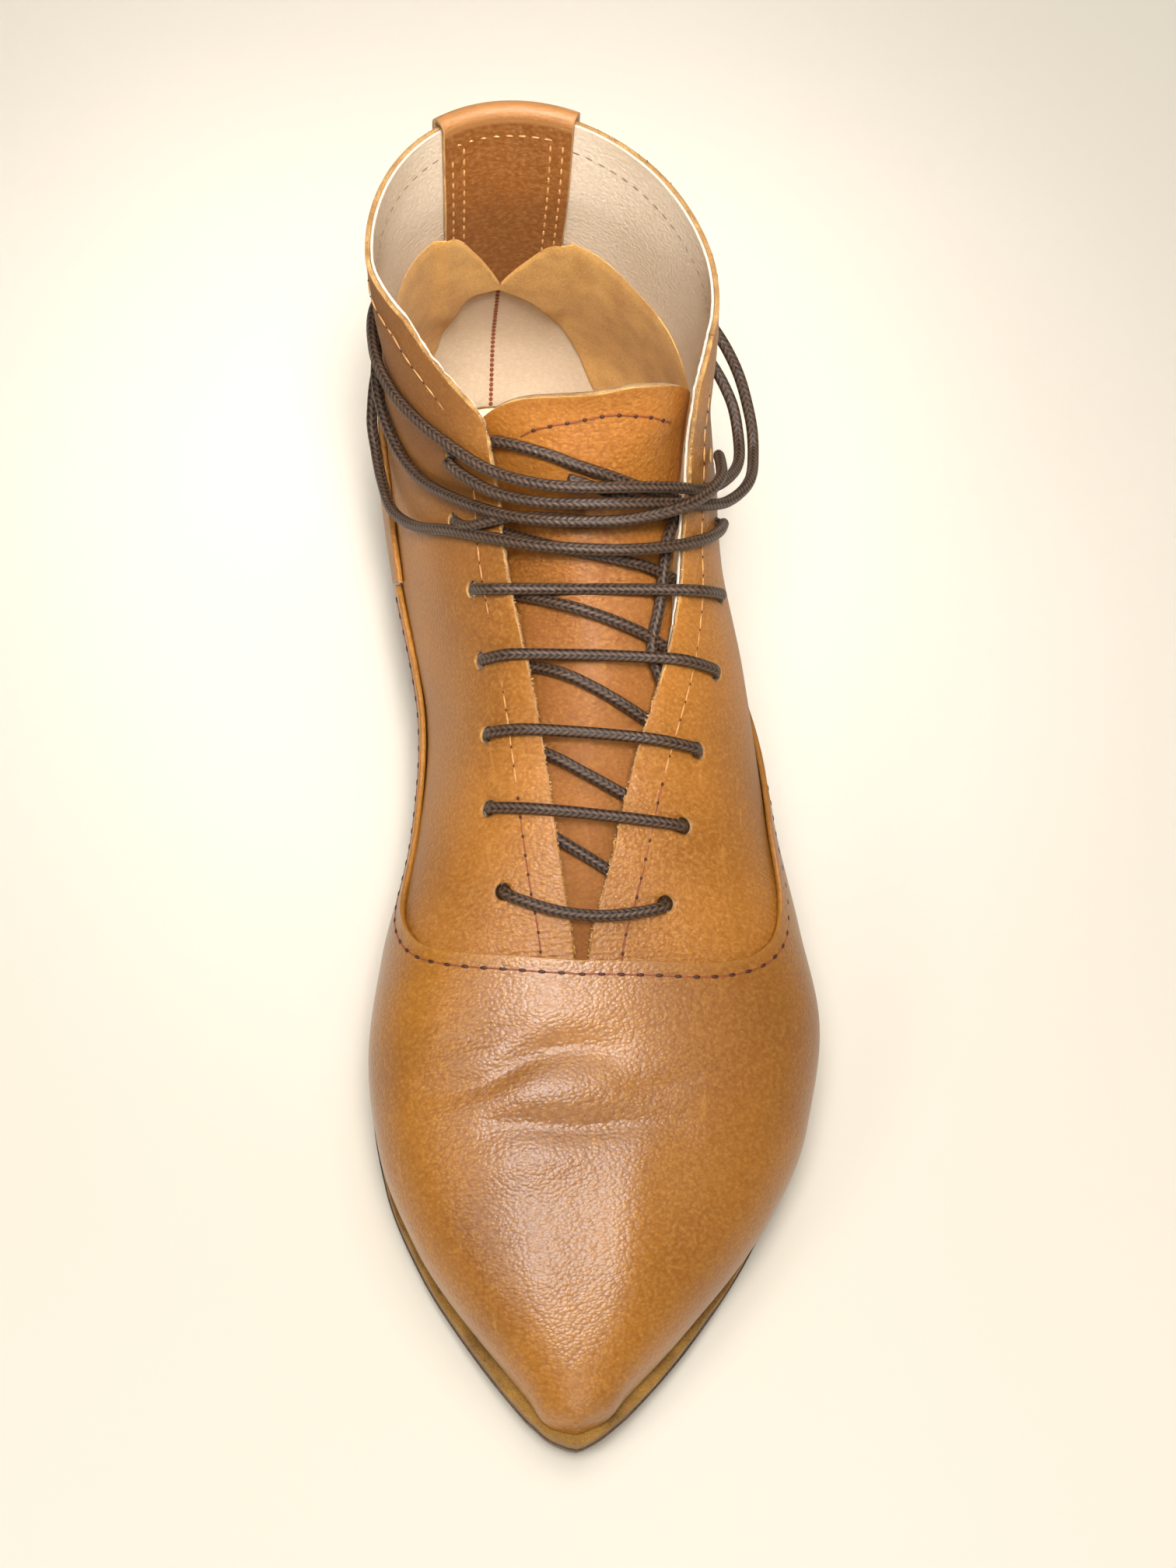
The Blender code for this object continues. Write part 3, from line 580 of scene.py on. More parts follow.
# tubes and stitches
def addTube(bm, path, radius, sides=14, tip=0.86):  # path in mm, evenly spaced, a little thinner at its ends
    path = np.asarray(path, float)
    made = bmesh.ops.create_grid(bm, x_segments=sides, y_segments=len(path) - 1, size=1,
                                 calc_uvs=True)["verts"]
    share = (np.array([vert.co[:2] for vert in made]) + 1) / 2
    row = np.rint(share[:, 1] * (len(path) - 1)).astype(int)
    turn = share[:, 0, None] * 2 * math.pi
    ahead = unit(np.gradient(path, axis=0))
    across = np.empty_like(path)
    side = np.cross(ahead[0], (0.31, 0.22, 0.92))
    for i, way in enumerate(ahead):  # carry the cross section along without twist
        side = side - way * side.dot(way)
        side /= np.linalg.norm(side)
        across[i] = side
    up = np.cross(ahead, across)
    thick = np.full((len(path), 1), radius)
    thick[[0, -1]] *= tip
    spots = path[row] + (across[row] * np.cos(turn) + up[row] * np.sin(turn)) * thick[row]
    for vert, spot in zip(made, spots * mm):
        vert.co = spot
    length = stepLengths(path).sum()
    layer = bm.loops.layers.uv["surface"]
    new = set(made)
    for face in bm.faces:
        if face.verts[0] in new:
            for loop in face.loops:
                loop[layer].uv.y *= length
    bmesh.ops.remove_doubles(bm, verts=made, dist=boot["weld"] * mm)
    ends = [edge for edge in bm.edges if edge.is_boundary]
    bmesh.ops.holes_fill(bm, edges=ends, sides=sides + 1)


def cordBmesh(paths, radius):
    bm = bmesh.new()
    bm.loops.layers.uv.new("surface")
    for path in paths:
        addTube(bm, path, radius)
    return bm


def smallShape(size):  # a rounded grain: length, width and height in mm
    bm = bmesh.new()
    bmesh.ops.create_uvsphere(bm, u_segments=8, v_segments=5, radius=0.5)
    shape = bpy.data.meshes.new("grain")
    bm.to_mesh(shape)
    bm.free()
    shape.transform(Matrix.Diagonal((*(edge * mm for edge in size), 1)))
    return shape


def addGrains(bm, path, normals, pitch, size, start=0.5, wander=0.0, seed=1):  # grains laid along a path
    path, normals = np.asarray(path, float), np.asarray(normals, float)
    draw = np.random.RandomState(seed)
    knots = distances(path)
    at = np.arange(start * pitch, knots[-1] - 0.5, pitch)
    spots, ahead, out = (np.stack([np.interp(at + shift, knots, line[:, i]) for i in range(3)], 1)
                         for line, shift in ((path, 0), (path, 0.4), (normals, 0)))
    shape = smallShape(size)
    for spot, way, up in zip(spots, ahead - spots, out):
        up = Vector(up).normalized()
        way = Vector(way)
        way = (way - up * way.dot(up)).normalized()
        turn = Matrix((way, up.cross(way), up)).transposed().to_4x4()
        if wander:  # loose fibres differ in turn, size and place
            turn = turn @ Matrix.Rotation(draw.normal() * 0.9, 4, "Z")
            turn = turn @ Matrix.Scale(draw.uniform(0.5, 1.3), 4)
            spot = spot + draw.normal(size=3) * wander
        copy = shape.copy()
        copy.transform(Matrix.Translation(Vector(spot) * mm) @ turn)
        bm.from_mesh(copy)
        bpy.data.meshes.remove(copy)
    bpy.data.meshes.remove(shape)


# the loose lace, run by run: the side, then section, angle and lift of each stop
wrapRoute = (
    (lateral, ((12.58, 0.50, 2.4), (12.50, 0.58, 3.4), (12.36, 0.70, 4.8), (12.22, 0.84, 5.5),
               (12.04, 0.98, 5.6), (11.85, 1.12, 5.4), (11.70, 1.30, 3.6), (11.64, 1.50, 2.4))),
    (medial, ((11.66, 1.25, 2.4), (11.72, 0.98, 2.4), (11.90, 0.70, 2.4), (12.20, 0.45, 2.4),
              (12.60, 0.22, 2.4), (13.10, 0.00, 2.5), (13.50, -0.25, 2.6), (13.78, -0.62, 2.5),
              (13.88, -1.10, 2.4))),
    (lateral, ((13.90, -1.57, 2.4), (13.88, -1.00, 2.5), (13.76, -0.50, 3.4), (13.45, -0.14, 5.4),
               (13.00, 0.08, 7.0), (12.50, 0.22, 7.3), (12.02, 0.38, 6.4), (11.82, 0.60, 4.0),
               (12.05, 0.84, 2.5), (12.48, 1.06, 2.4), (12.80, 1.32, 2.4))),
    (medial, ((12.95, 1.52, 2.4), (13.02, 1.25, 2.4), (13.18, 0.98, 2.4), (13.48, 0.72, 2.4),
              (13.68, 0.48, 2.4), (13.86, 0.22, 2.4), (14.06, -0.08, 2.5), (14.22, -0.45, 2.6),
              (14.30, -1.00, 2.4))),
    (lateral, ((14.32, -1.57, 2.4), (14.30, -1.05, 2.8), (14.20, -0.60, 4.2), (13.92, -0.26, 7.2),
               (13.40, -0.02, 9.8), (12.70, 0.13, 11.0), (12.00, 0.24, 10.6), (11.40, 0.42, 8.4),
               (11.22, 0.64, 4.6), (11.45, 0.86, 2.5), (11.86, 1.06, 2.4), (12.18, 1.28, 2.4),
               (12.35, 1.52, 2.4))),
    (medial, ((12.42, 1.25, 2.4), (12.56, 0.98, 2.4), (12.84, 0.78, 2.4), (13.05, 0.69, 2.4))),
)
tailRoute = (
    (lateral, ((10.63, 0.52, 2.4), (10.54, 0.66, 2.4), (10.50, 0.90, 2.4), (10.50, 1.20, 2.4),
               (10.58, 1.52, 2.4))),
    (medial, ((10.72, 1.20, 2.4), (10.82, 0.90, 2.4), (10.80, 0.62, 2.5), (10.70, 0.34, 2.8),
              (10.82, 0.10, 3.6), (11.25, -0.06, 3.8), (11.90, -0.16, 3.8), (12.60, -0.30, 3.8),
              (13.18, -0.54, 3.6), (13.52, -1.00, 2.8))),
    (lateral, ((13.60, -1.57, 2.8), (13.55, -1.05, 2.6), (13.36, -0.68, 3.0), (13.02, -0.40, 3.6),
               (12.58, -0.26, 3.6), (12.10, -0.18, 3.4))),
)
lace = {"radius": 1.32, "step": 1.0, "over": 1.42, "under": -3.9, "dip": -1.0, "run": 2.6, "settle": 0.8,
        "edge": 1.0, "shortest": 1.5, "easing": 0.35}
holeRows = (  # medial and lateral section, medial and lateral reach of each pair of holes
    (7.06, 6.84, 17.7, 18.6), (7.87, 7.58, 21.9, 21.8), (8.46, 8.23, 22.5, 24.9), (9.07, 8.84, 23.2, 29.5),
    (9.81, 9.61, 24.2, 33.0), (10.99, 10.63, 27.0, 34.5), (13.11, 12.58, 27.0, 33.5),
)


def routePoints(route):
    section, angle, lift, side = np.array([(*stop, side) for side, run in route for stop in run]).T
    return skin(section, angle, side, lift - lace["settle"])


def looseLace(name, route):
    path = smoothRoute(routePoints(route), lace["step"])
    piece = addPiece("cord_" + name, cordBmesh([path], lace["radius"]), [lacingCord])
    dress(piece, name, name)


looseLace("lace_wrap", wrapRoute)
looseLace("lace_tail", tailRoute)
print("loose lace ready")


def acrossPoint(section, reach, lift):
    return skin(section, *acrossAt(section, reach), lift)


def acrossRun(*stops):
    return [acrossPoint(*stop) for stop in stops]


def holePlace(row, side, lift, shift=0.0):  # point at a hole, shifted along its bar toward the throat
    medialRow, lateralRow, medialReach, lateralReach = row
    share = shift / (medialReach + lateralReach)
    if side > 0:
        return acrossPoint(lateralRow + (medialRow - lateralRow) * share, lateralReach - shift, lift)
    return acrossPoint(medialRow + (lateralRow - medialRow) * share, shift - medialReach, lift)


def holeSides(row):  # side, section and reach of both holes of a pair
    return (medial, row[0], row[2]), (lateral, row[1], row[3])


def barStops(row, sag):  # out of the medial hole, straight over the throat and into the lateral hole
    stops = [holePlace(row, medial, lace["dip"])]
    for side, section, reach in holeSides(row):
        rim = max(reach - throat[side](section) - lace["edge"], lace["run"] + lace["shortest"])
        ride = [holePlace(row, side, lace["over"], lace["run"]) + sag * lace["easing"],
                holePlace(row, side, lace["over"], rim) + sag]
        stops += ride if side < 0 else ride[::-1]
    stops.append(holePlace(row, lateral, lace["dip"]))
    return stops


def underStops(row, above):  # from the lateral hole under the edge to the next medial hole
    start, stop = np.array((row[1], row[3])), np.array((above[0], -above[2]))
    return [acrossPoint(*(start + (stop - start) * share), lace["under"])
            for share in (0.05, 0.3, 0.5, 0.7, 0.95)]


def makeLacing():
    # how far each bar hangs toward the toe
    slack = ((0, -4.2, -1.6), (0, -1.0, -0.4), (0, -0.4, -0.1), (0, 0, 0), (0, 0, 0))
    stops = [holePlace(holeRows[0], medial, lace["under"])]
    for i, sag in enumerate(slack):
        stops += barStops(holeRows[i], np.array(sag))
        stops += underStops(holeRows[i], holeRows[i + 1])
    # out of the sixth medial hole and away beneath the wound turns
    stops.append(holePlace(holeRows[5], medial, lace["dip"]))
    stops += acrossRun((11.0, -23.8, 1.4), (11.3, -20.4, 1.4), (11.55, -17.0, 0.0), (11.6, -10.0, -2.4),
                       (11.5, -2.0, -3.4))
    # from the sixth lateral hole up to the seventh medial hole
    upper = acrossRun((10.63, 34.5, 0.6), (10.8, 33.0, -3.6), (11.4, 28.0, -3.9), (12.02, 20.8, -3.9),
                      (12.48, 13.8, -3.9), (12.98, 6.4, -3.9), (13.39, -2.5, -3.8), (13.62, -9.3, -3.6),
                      (13.69, -15.6, -3.4), (13.6, -21.0, -3.4), (13.2, -26.6, -3.2), (13.11, -27.0, 0.6))
    # a short end under the wound turns
    cutTail = acrossRun((13.05, -5.5, -2.2), (12.91, -1.8, -2.0), (12.64, 3.0, -1.9), (12.3, 8.5, -1.9),
                        (12.0, 14.0, -1.9))
    # a spare run inside the lateral edge, between the sixth and fourth rows
    spare = acrossRun((11.2, 24.0, -3.7), (10.6, 20.4, -3.6), (10.0, 18.8, -3.6), (9.5, 17.0, -3.7),
                      (9.0, 14.6, -3.9), (8.75, 16.5, -3.2), (8.6, 20.0, -3.3))
    paths = [smoothRoute(run, lace["step"]) for run in (stops, upper, cutTail, spare)]
    dress(addPiece("cord_lacing", cordBmesh(paths, lace["radius"]), [lacingCord]), "lacing", "lacing")


makeLacing()
print("lacing ready")


# leather panels
def punchHoles(bm, radius, reach=5.5):  # cuts the lace holes: finer faces first, then a round rim
    for row in holeRows:
        for side, section, gap in holeSides(row):
            centre = Vector(holePlace(row, side, 0.0)) * mm
            out = Vector(skinNormal(section, angleAt(section, gap, side), side))
            near = [edge for edge in bm.edges
                    if all((vert.co - centre).length < reach * mm for vert in edge.verts)]
            bmesh.ops.subdivide_edges(bm, edges=near, cuts=2, use_grid_fill=True)
            gone = [face for face in bm.faces if (face.calc_center_median() - centre).length < radius * mm]
            bmesh.ops.delete(bm, geom=gone, context="FACES")
            for vert in bm.verts:
                away = vert.co - centre
                if vert.is_boundary and away.length < 2 * radius * mm:
                    depth = away.dot(out)
                    flat = away - out * depth
                    vert.co = centre + flat.normalized() * radius * mm + out * depth


edges = {}
for side in bothSides:  # throat and collar edge: from the vamp up to the back seam
    rise = np.linspace(throatRows[0][0] + 0.02, collarRow, 420)
    brim = np.linspace(float(throatAngle(collarRow, side)), -halfPi, 240)[1:]
    edges[side] = (np.concatenate((rise, np.full(len(brim), collarRow))),
                   np.concatenate((throatAngle(rise, side), brim)))
edgeLine = np.concatenate([lastPoint(*edges[side], side) for side in bothSides])

vampEdge = {  # section and angle along the vamp's upper edge, from the centre to the wing's end
    medial: ((6.30, halfPi), (6.37, 1.36), (6.54, 0.97), (6.75, 0.68), (7.04, 0.46), (7.45, 0.25),
             (8.2, 0.05), (9.0, -0.15), (9.9, -0.28)),
    lateral: ((6.30, halfPi), (6.27, 1.34), (6.27, 1.06), (6.41, 0.81), (6.72, 0.60), (7.14, 0.47),
              (7.78, 0.36), (8.3, 0.2), (9.0, -0.05), (9.9, -0.22)),
}
unroll = (15, 32)  # mm to a section and to a radian, roughly
vampLine = {side: smoothRoute(np.array(vampEdge[side]) * unroll, step=0.4) / unroll for side in bothSides}
panelFoot = -halfPi * 2 / 3


def makeQuarters():
    quarter = {"columns": 64, "rows": 190, "leather": 1.1, "lining": 0.6, "step": 0.12, "liningFront": 4.5,
               "hole": 2.0, "liningHole": 2.3, "swell": 0.28, "swellWave": 34, "fray": 0.12, "frayWave": 2.6,
               "seamEnd": 7.6, "wrinkle": 0.45, "wrinkleReach": 11, "ankleShade": 0.55}
    trim = {medial: tableCurve(((6, 0.5), (16, 0.5)), 1),
            lateral: tableCurve(((6, 0.6), (8.4, 0.6), (9.6, -0.1), (16, -0.15)), 1)}

    def punched(hole, lift, front, trimmed):  # both quarters, or their lining, with the lace holes
        def place(side, u, v):
            section = front + (collarRow - front) * v
            top = throatAngle(section, side, trim[side](section) if trimmed else 0.0)
            angle = -halfPi + (top + halfPi) * u
            points = lastPoint(section, angle, side)
            swell = quarter["swell"] * softWaves(points, quarter["swellWave"], seed=5)
            swell *= np.clip(u * 3 - 1, 0, 1)  # none low down
            fray = np.where(u > 0.999, quarter["fray"], 0) * softWaves(points, quarter["frayWave"], seed=9)
            return skin(section, angle, side, lift + swell + fray)

        bm = halvesBmesh(quarter, place)
        weld(bm)
        punchHoles(bm, hole)
        return bm

    outer = addPanel("quarter_leather", punched(quarter["hole"], 0.0, 0, False),
                     [quarterLeather, rawEdge, fleshSide], quarter["leather"], "upper", "upper")
    wearEdge(outer, edgeLine, reach=0.7, most=0.12)
    points = meshPoints(outer)
    seam = np.concatenate([lastPoint(*vampLine[side][vampLine[side][:, 0] < quarter["seamEnd"]].T, side)
                           for side in bothSides])
    setValue(outer, "wrinkle",
             np.exp(-(nearest(points, seam) / quarter["wrinkleReach"]) ** 2) * quarter["wrinkle"])
    ankleShade = ramp(points[:, 2], start=66, reach=26) * ramp(-points[:, 0], start=4, reach=14)
    setValue(outer, "paintedShade", ankleShade * quarter["ankleShade"])  # painted shade: the inner ankle is darker, as if in shadow
    lift = -quarter["leather"] - quarter["step"]
    addPanel("lining_leather", punched(quarter["liningHole"], lift, quarter["liningFront"], True),
             [liningLeather, liningEdge, liningLeather], quarter["lining"], "upper")


makeQuarters()
print("quarters ready")

creases = (  # troughs across the toes and a ridge to the tip, in plan: route, depth and half width
    {"route": ((-33, -168), (-18, -169.6), (-11.7, -167.5), (-6.1, -164.8), (4.4, -163.5), (15, -166)),
     "depth": 1.2, "width": 3.0},
    {"route": ((-19, -178), (-9.4, -178.5), (0.2, -180), (10.3, -180), (17.8, -179.5), (29, -181)),
     "depth": 1.0, "width": 2.6},
    {"route": ((-26, -158), (-16, -159.5), (-7, -157.5)), "depth": 0.45, "width": 2.0},
    {"route": ((12, -171), (20, -172.5), (30, -170)), "depth": 0.5, "width": 2.0},
    {"route": ((20, -176), (14.4, -190), (12.7, -201), (11, -212), (8, -223), (3, -235)),
     "depth": -0.9, "width": 6.5},
)
bulges = (  # place in plan, reach and height
    {"at": (-7, -171.5), "reach": (13, 4.6), "height": 0.9},
    {"at": (6, -172.5), "reach": (10, 4.0), "height": 0.6},
    {"at": (-9, -186), "reach": (16, 5.0), "height": 0.6},
    {"at": (2, -156), "reach": (16, 5.0), "height": 0.5},
)


def creaseLift(points, wrinkleReach=4.5):  # height of the folds, and how near each point is to a trough
    lift, bend = np.zeros(len(points)), np.zeros(len(points))
    for crease in creases:
        line = smoothRoute(crease["route"], step=0.5)
        apart = np.linalg.norm(points[:, None, :2] - line[None], axis=2)
        away = apart.min(axis=1)
        fade = np.sin(math.pi * np.clip(apart.argmin(axis=1) / (len(line) - 1), 0, 1)) ** 0.6
        lift -= crease["depth"] * fade * np.exp(-(away / crease["width"]) ** 2)
        if crease["depth"] > 0:
            bend = np.maximum(bend, fade * np.exp(-(away / wrinkleReach) ** 2))
    for bulge in bulges:
        offset = (points[:, :2] - bulge["at"]) / bulge["reach"]
        lift += bulge["height"] * np.exp(-(offset ** 2).sum(axis=1))
    return lift, bend


def makeVamp():
    vamp = {"columns": 150, "rows": 92, "gap": 0.25, "leather": 1.3, "tip": 0.13, "swell": 0.22,
            "swellWave": 30, "gape": {medial: 0.1, lateral: 0.3}, "lowest": -0.7, "edgeRise": 0.95,
            "wrinkle": 0.3, "paintedShade": 0.2}

    def place(side, u, v):
        topSection, topAngle = readLine(vampLine[side], u)
        footSection = ramp(u, vamp["tip"], 1 - vamp["tip"]) * vampEdge[side][-1][0]
        footAngle = np.where(u < vamp["tip"], halfPi + (panelFoot - halfPi) * u / vamp["tip"], panelFoot)
        section = footSection + (topSection - footSection) * v
        angle = footAngle + (topAngle - footAngle) * v
        points = lastPoint(section, angle, side)
        lift = vamp["gap"] + creaseLift(points)[0] * np.clip(angle * 2.5, 0, 1)
        lift += vamp["swell"] * softWaves(points, vamp["swellWave"], seed=3) * (1 - v)
        lift += vamp["gape"][side] * np.exp(-((u - 0.5) / 0.16) ** 2) * v ** 5
        # the sewn edge lies on the quarters
        lowest = vamp["lowest"] + vamp["edgeRise"] * np.clip(v * 8 - 7, 0, 1)
        return skin(section, angle, side, np.maximum(lift, lowest))

    piece = addPanel("vamp_leather", halvesBmesh(vamp, place), [vampLeather, vampLeather, fleshSide],
                     vamp["leather"], "vamp", "vamp", outward=True)
    edge = np.concatenate([skin(*vampLine[side].T, side, vamp["gap"]) for side in bothSides])
    wearEdge(piece, edge, reach=0.8, most=0.3)
    points = meshPoints(piece)
    setValue(piece, "wrinkle", creaseLift(points)[1] * vamp["wrinkle"])
    # painted shade: the outer flank is a little darker, as if turned from the light
    setValue(piece, "paintedShade", ramp(points[:, 0], start=10, reach=22) * vamp["paintedShade"])


makeVamp()
print("vamp ready")


def makeCounter():
    counter = {"columns": 44, "rows": 150, "gap": 0.25, "leather": 1.3, "join": 12.4, "start": 9.92,
               "back": 63.0}
    rows = np.linspace(backRow, collarRow, 400)
    end = float(np.interp(counter["back"], last["lowZ"](rows), rows))
    height = tableCurve(((counter["start"], 49.4), (11, 54.1), (12, 57.6), (12.6, 60.2),
                         (end, counter["back"])), 1)
    foot = curveThrough((counter["start"], backRow, counter["join"], collarRow),
                        (panelFoot, panelFoot, -halfPi, -halfPi))

    def top(section):  # the angle at which the wall is as high as the counter's edge
        low = last["lowZ"](section)
        share = (height(section) - low) / (last["rise"](section) * (last["ridgeZ"](section) - low))
        return -np.arcsin(np.clip(1 - share, 0, 1))

    def place(side, u, v):
        section = end - (end - counter["start"]) * (1 - v) ** 2
        low = np.maximum(foot(section), -halfPi)
        return skin(section, low + (top(section) - low) * u, side, counter["gap"])

    piece = addPanel("counter_leather", halvesBmesh(counter, place),
                     [quarterLeather, quarterLeather, fleshSide], counter["leather"], "counter", "counter",
                     outward=True)
    rows = end - (end - counter["start"]) * np.linspace(1, 0, 300) ** 2
    edge = np.concatenate([skin(rows, top(rows), side, counter["gap"]) for side in bothSides])
    wearEdge(piece, edge, reach=0.8, most=0.3)


makeCounter()


def makeTongue():
    tongue = {"columns": 56, "rows": 150, "leather": 1.6, "start": 5.5, "thread": 0.15, "swell": 0.25,
              "swellWave": 22, "paintedShade": 0.7, "shadeReach": 16}
    reachRows = ((5.5, 9, 9), (6.2, 12, 12), (8, 17, 17), (10, 24, 25), (13, 25.5, 31), (16, 25, 36))
    reach = {medial: tableCurve(reachRows, 1), lateral: tableCurve(reachRows, 2)}
    topEdge = curveThrough((0, 0.05, 0.15, 0.28, 0.443, 0.615, 0.754, 0.852, 0.951, 1),
                           (13.7, 14.1, 14.8, 15.5, 15.9, 15.95, 15.5, 15.0, 14.4, 14.0))
    depth = curveThrough((5.5, 6.4, 7.2, 8, 12, 14, 16), (-2.6, -3.0, -5.2, -6.2, -5.7, -4.6, -3.6))
    # the stitched arc near the top: reach and section
    stitched = ((-15.5, 13.9), (-11.1, 14.27), (-2.3, 14.68), (7.1, 14.86), (15.9, 14.56), (24.3, 13.83))

    def layRow(section, across, above=0.0):  # points on the tongue and their normals
        angle, side = acrossAt(section, across)
        swell = tongue["swell"] * softWaves(lastPoint(section, angle, side), tongue["swellWave"], seed=12)
        return surfaceRow(section, angle, side, depth(section) + swell + above)

    def place(u, v):
        section = tongue["start"] + (topEdge(u) - tongue["start"]) * v
        across = (reach[medial](section) + reach[lateral](section)) * u - reach[medial](section)
        return layRow(section, across)[0]

    piece = addPanel("tongue_leather", gridBmesh([(tongue["columns"], tongue["rows"], place)]),
                     [tongueLeather, rawEdge, fleshSide], tongue["leather"], "tongue", "tongue")
    run, low, high = np.linspace(0, 1, 400), np.zeros(400), np.ones(400)
    edge = np.concatenate([place(low, run), place(high, run), place(run, high)])
    wearEdge(piece, edge, reach=0.8, most=0.25)
    points = meshPoints(piece)
    # painted shade: darker along the facings, low down, where the facings shade the tongue
    under = np.clip(1 - nearest(points, edgeLine) / tongue["shadeReach"], 0, 1)
    setValue(piece, "paintedShade", under * ramp(-points[:, 1], start=50, reach=25) * tongue["paintedShade"])
    across = np.linspace(stitched[0][0], stitched[-1][0], 200)
    return layRow(tableCurve(stitched, 1)(across), across, tongue["thread"])


tongueRow = makeTongue()
print("tongue ready")


def makeBackTab():
    tab = {"columns": 30, "rows": 96, "leather": 1.2, "gap": 0.35, "wall": 2.1, "outside": 15.0, "low": 13.9,
           "palerAbove": 134.5, "paler": 0.65, "stitchRows": (0.07, 0.16, 0.84, 0.93), "stitchLow": 0.05,
           "stitchRun": 0.41, "crossRow": 0.475, "crossInset": 0.08, "tilt": 0.2}
    half = tableCurve(((13.9, 14.6), (15, 15.4), (16, 16)), 1)
    inner, outer = -tab["wall"] - tab["gap"], tab["gap"]
    middle, radius = (inner + outer) / 2, (outer - inner) / 2
    up = [(section, inner, 0.0) for section in np.linspace(tab["low"], collarRow, 44)]
    fold = [(collarRow, middle - radius * math.cos(turn), tab["gap"] + radius * math.sin(turn))
            for turn in np.linspace(0, math.pi, 17)]
    down = [(section, outer, 0.0) for section in np.linspace(collarRow, tab["outside"], 24)]
    path = np.array(up + fold[1:-1] + down)

    def place(u, v):
        section, lift, raised = readLine(path, v)
        reach = half(section) * (2 * u - 1)
        side = np.where(reach >= 0, lateral, medial)
        point = skin(section, backAngle(section, np.abs(reach), side), side, lift)
        point[..., 2] += raised
        return point

    piece = addPiece("tab_leather", gridBmesh([(tab["columns"], tab["rows"], place)]),
                     [tabLeather, rawEdge, fleshSide])
    # the top of the fold is paler
    setValue(piece, "paler", np.where(meshPoints(piece)[:, 2] > tab["palerAbove"], tab["paler"], 0.0))
    addWall(piece, tab["leather"], outward=True)
    dress(piece, "back_tab", "back_tab")
    run = np.linspace(0, 1, 120)
    at = tab["stitchLow"] + tab["stitchRun"] * run
    lines = [(place(np.full_like(at, share), at),
              -skinNormal(readLine(path, at)[0], -halfPi + tab["tilt"], lateral if share > 0.5 else medial))
             for share in tab["stitchRows"]]
    across = tab["crossInset"] + (1 - 2 * tab["crossInset"]) * run
    lines.append((place(across, np.full_like(run, tab["crossRow"])),
                  -skinNormal(np.full_like(run, 15.9), -halfPi + tab["tilt"], lateral)))
    return lines


tabRows = makeBackTab()


def makeGrips():
    grip = {"columns": 60, "rows": 26, "suede": 0.4, "lift": -1.9, "overTab": -3.75, "press": 0.45,
            "rim": 1.2, "tabHalf": 17.5, "tabLow": 13.3}
    shape = {  # upper and lower edge from the back seam forward: section, angle
        lateral: (((13.90, -halfPi), (14.18, -1.39), (14.45, -1.17), (14.40, -0.96), (14.12, -0.62),
                   (13.78, -0.29), (13.25, -0.07), (12.5, 0.05)),
                  ((13.86, -halfPi), (13.60, -1.24), (13.08, -1.04), (12.48, -0.92), (12.1, -0.7),
                   (11.9, -0.45), (11.9, -0.2), (12.2, 0.0))),
        medial: (((13.90, -halfPi), (14.30, -1.37), (14.60, -1.15), (14.53, -0.93), (14.38, -0.71),
                  (13.9, -0.38), (13.3, -0.12), (12.5, 0.02)),
                 ((13.86, -halfPi), (13.75, -1.29), (13.30, -1.13), (12.83, -1.05), (12.3, -0.85),
                  (12.0, -0.55), (11.95, -0.25), (12.2, -0.02))),
    }

    def place(side, u, v):
        (highSection, highAngle), (lowSection, lowAngle) = (
            [curveThrough(np.linspace(0, 1, len(line)), column)(u) for column in zip(*line)]
            for line in shape[side])
        section = lowSection + (highSection - lowSection) * v
        angle = np.maximum(lowAngle + (highAngle - lowAngle) * v, -halfPi)
        apart = np.abs(lastPoint(section, angle, side)[..., 0])
        onTab = ramp(-apart, -grip["tabHalf"], reach=2.5) * ramp(section, grip["tabLow"], reach=0.3)
        # the rim is pressed into the lining
        pressed = grip["press"] * np.clip(1 - np.minimum(v, 1 - v) * grip["rows"] / grip["rim"], 0, 1)
        return skin(section, angle, side, grip["lift"] + (grip["overTab"] - grip["lift"]) * onTab + pressed)

    addPanel("heel_grips", halvesBmesh(grip, place), [gripSuede] * 3, grip["suede"], "upper")


makeGrips()
print("back tab and grips ready")


# soles
def feather(section, side):
    low = lowPoint(section)
    low[..., 0] += side * sideValue("feather", section, side) * roundShare(low)
    return low


def outlinePoint(section, side, margin):  # feather line moved out by a margin in plan
    step = boot["probe"]
    run = feather(np.minimum(section + step, backRow), side) - feather(np.maximum(section - step, 0), side)
    out = np.stack([run[..., 1] * side, -run[..., 0] * side, 0 * section], -1)
    out[..., 0] = np.where((section <= step) | (section >= backRow - step), 0, out[..., 0])
    return feather(section, side) + unit(out) * np.asarray(margin)[..., None]


def plateSheet(sections, columns, margin, height):  # margin by section, height by distance from the heel back
    def place(u, v):
        section = np.interp(v * (len(sections) - 1), np.arange(len(sections)), sections)
        inner, outer = (outlinePoint(section, side, margin(section)) for side in bothSides)
        point = inner + (outer - inner) * u[..., None]
        point[..., 2] = height(boot["heelCentre"] - point[..., 1])
        return point
    return columns, len(sections) - 1, place


def makePlate(name, layers, sections, material, bevel, columns=12):  # each layer is a top and a bottom
    whole = bmesh.new()
    for top, bottom in layers:
        bm = gridBmesh([plateSheet(sections, columns, *top), plateSheet(sections, columns, *bottom)])
        weld(bm)
        bmesh.ops.bridge_loops(bm, edges=[edge for edge in bm.edges if edge.is_boundary])
        bmesh.ops.recalc_face_normals(bm, faces=bm.faces)
        layer = bpy.data.meshes.new(name)
        bm.to_mesh(layer)
        bm.free()
        whole.from_mesh(layer)
        bpy.data.meshes.remove(layer)
    piece = addPiece(name, whole, [material])
    soft = piece.modifiers.new("edge", "BEVEL")
    soft.width = bevel * mm
    soft.segments = 2
    soft.limit_method = "ANGLE"
    soft.angle_limit = math.radians(50)
    return piece


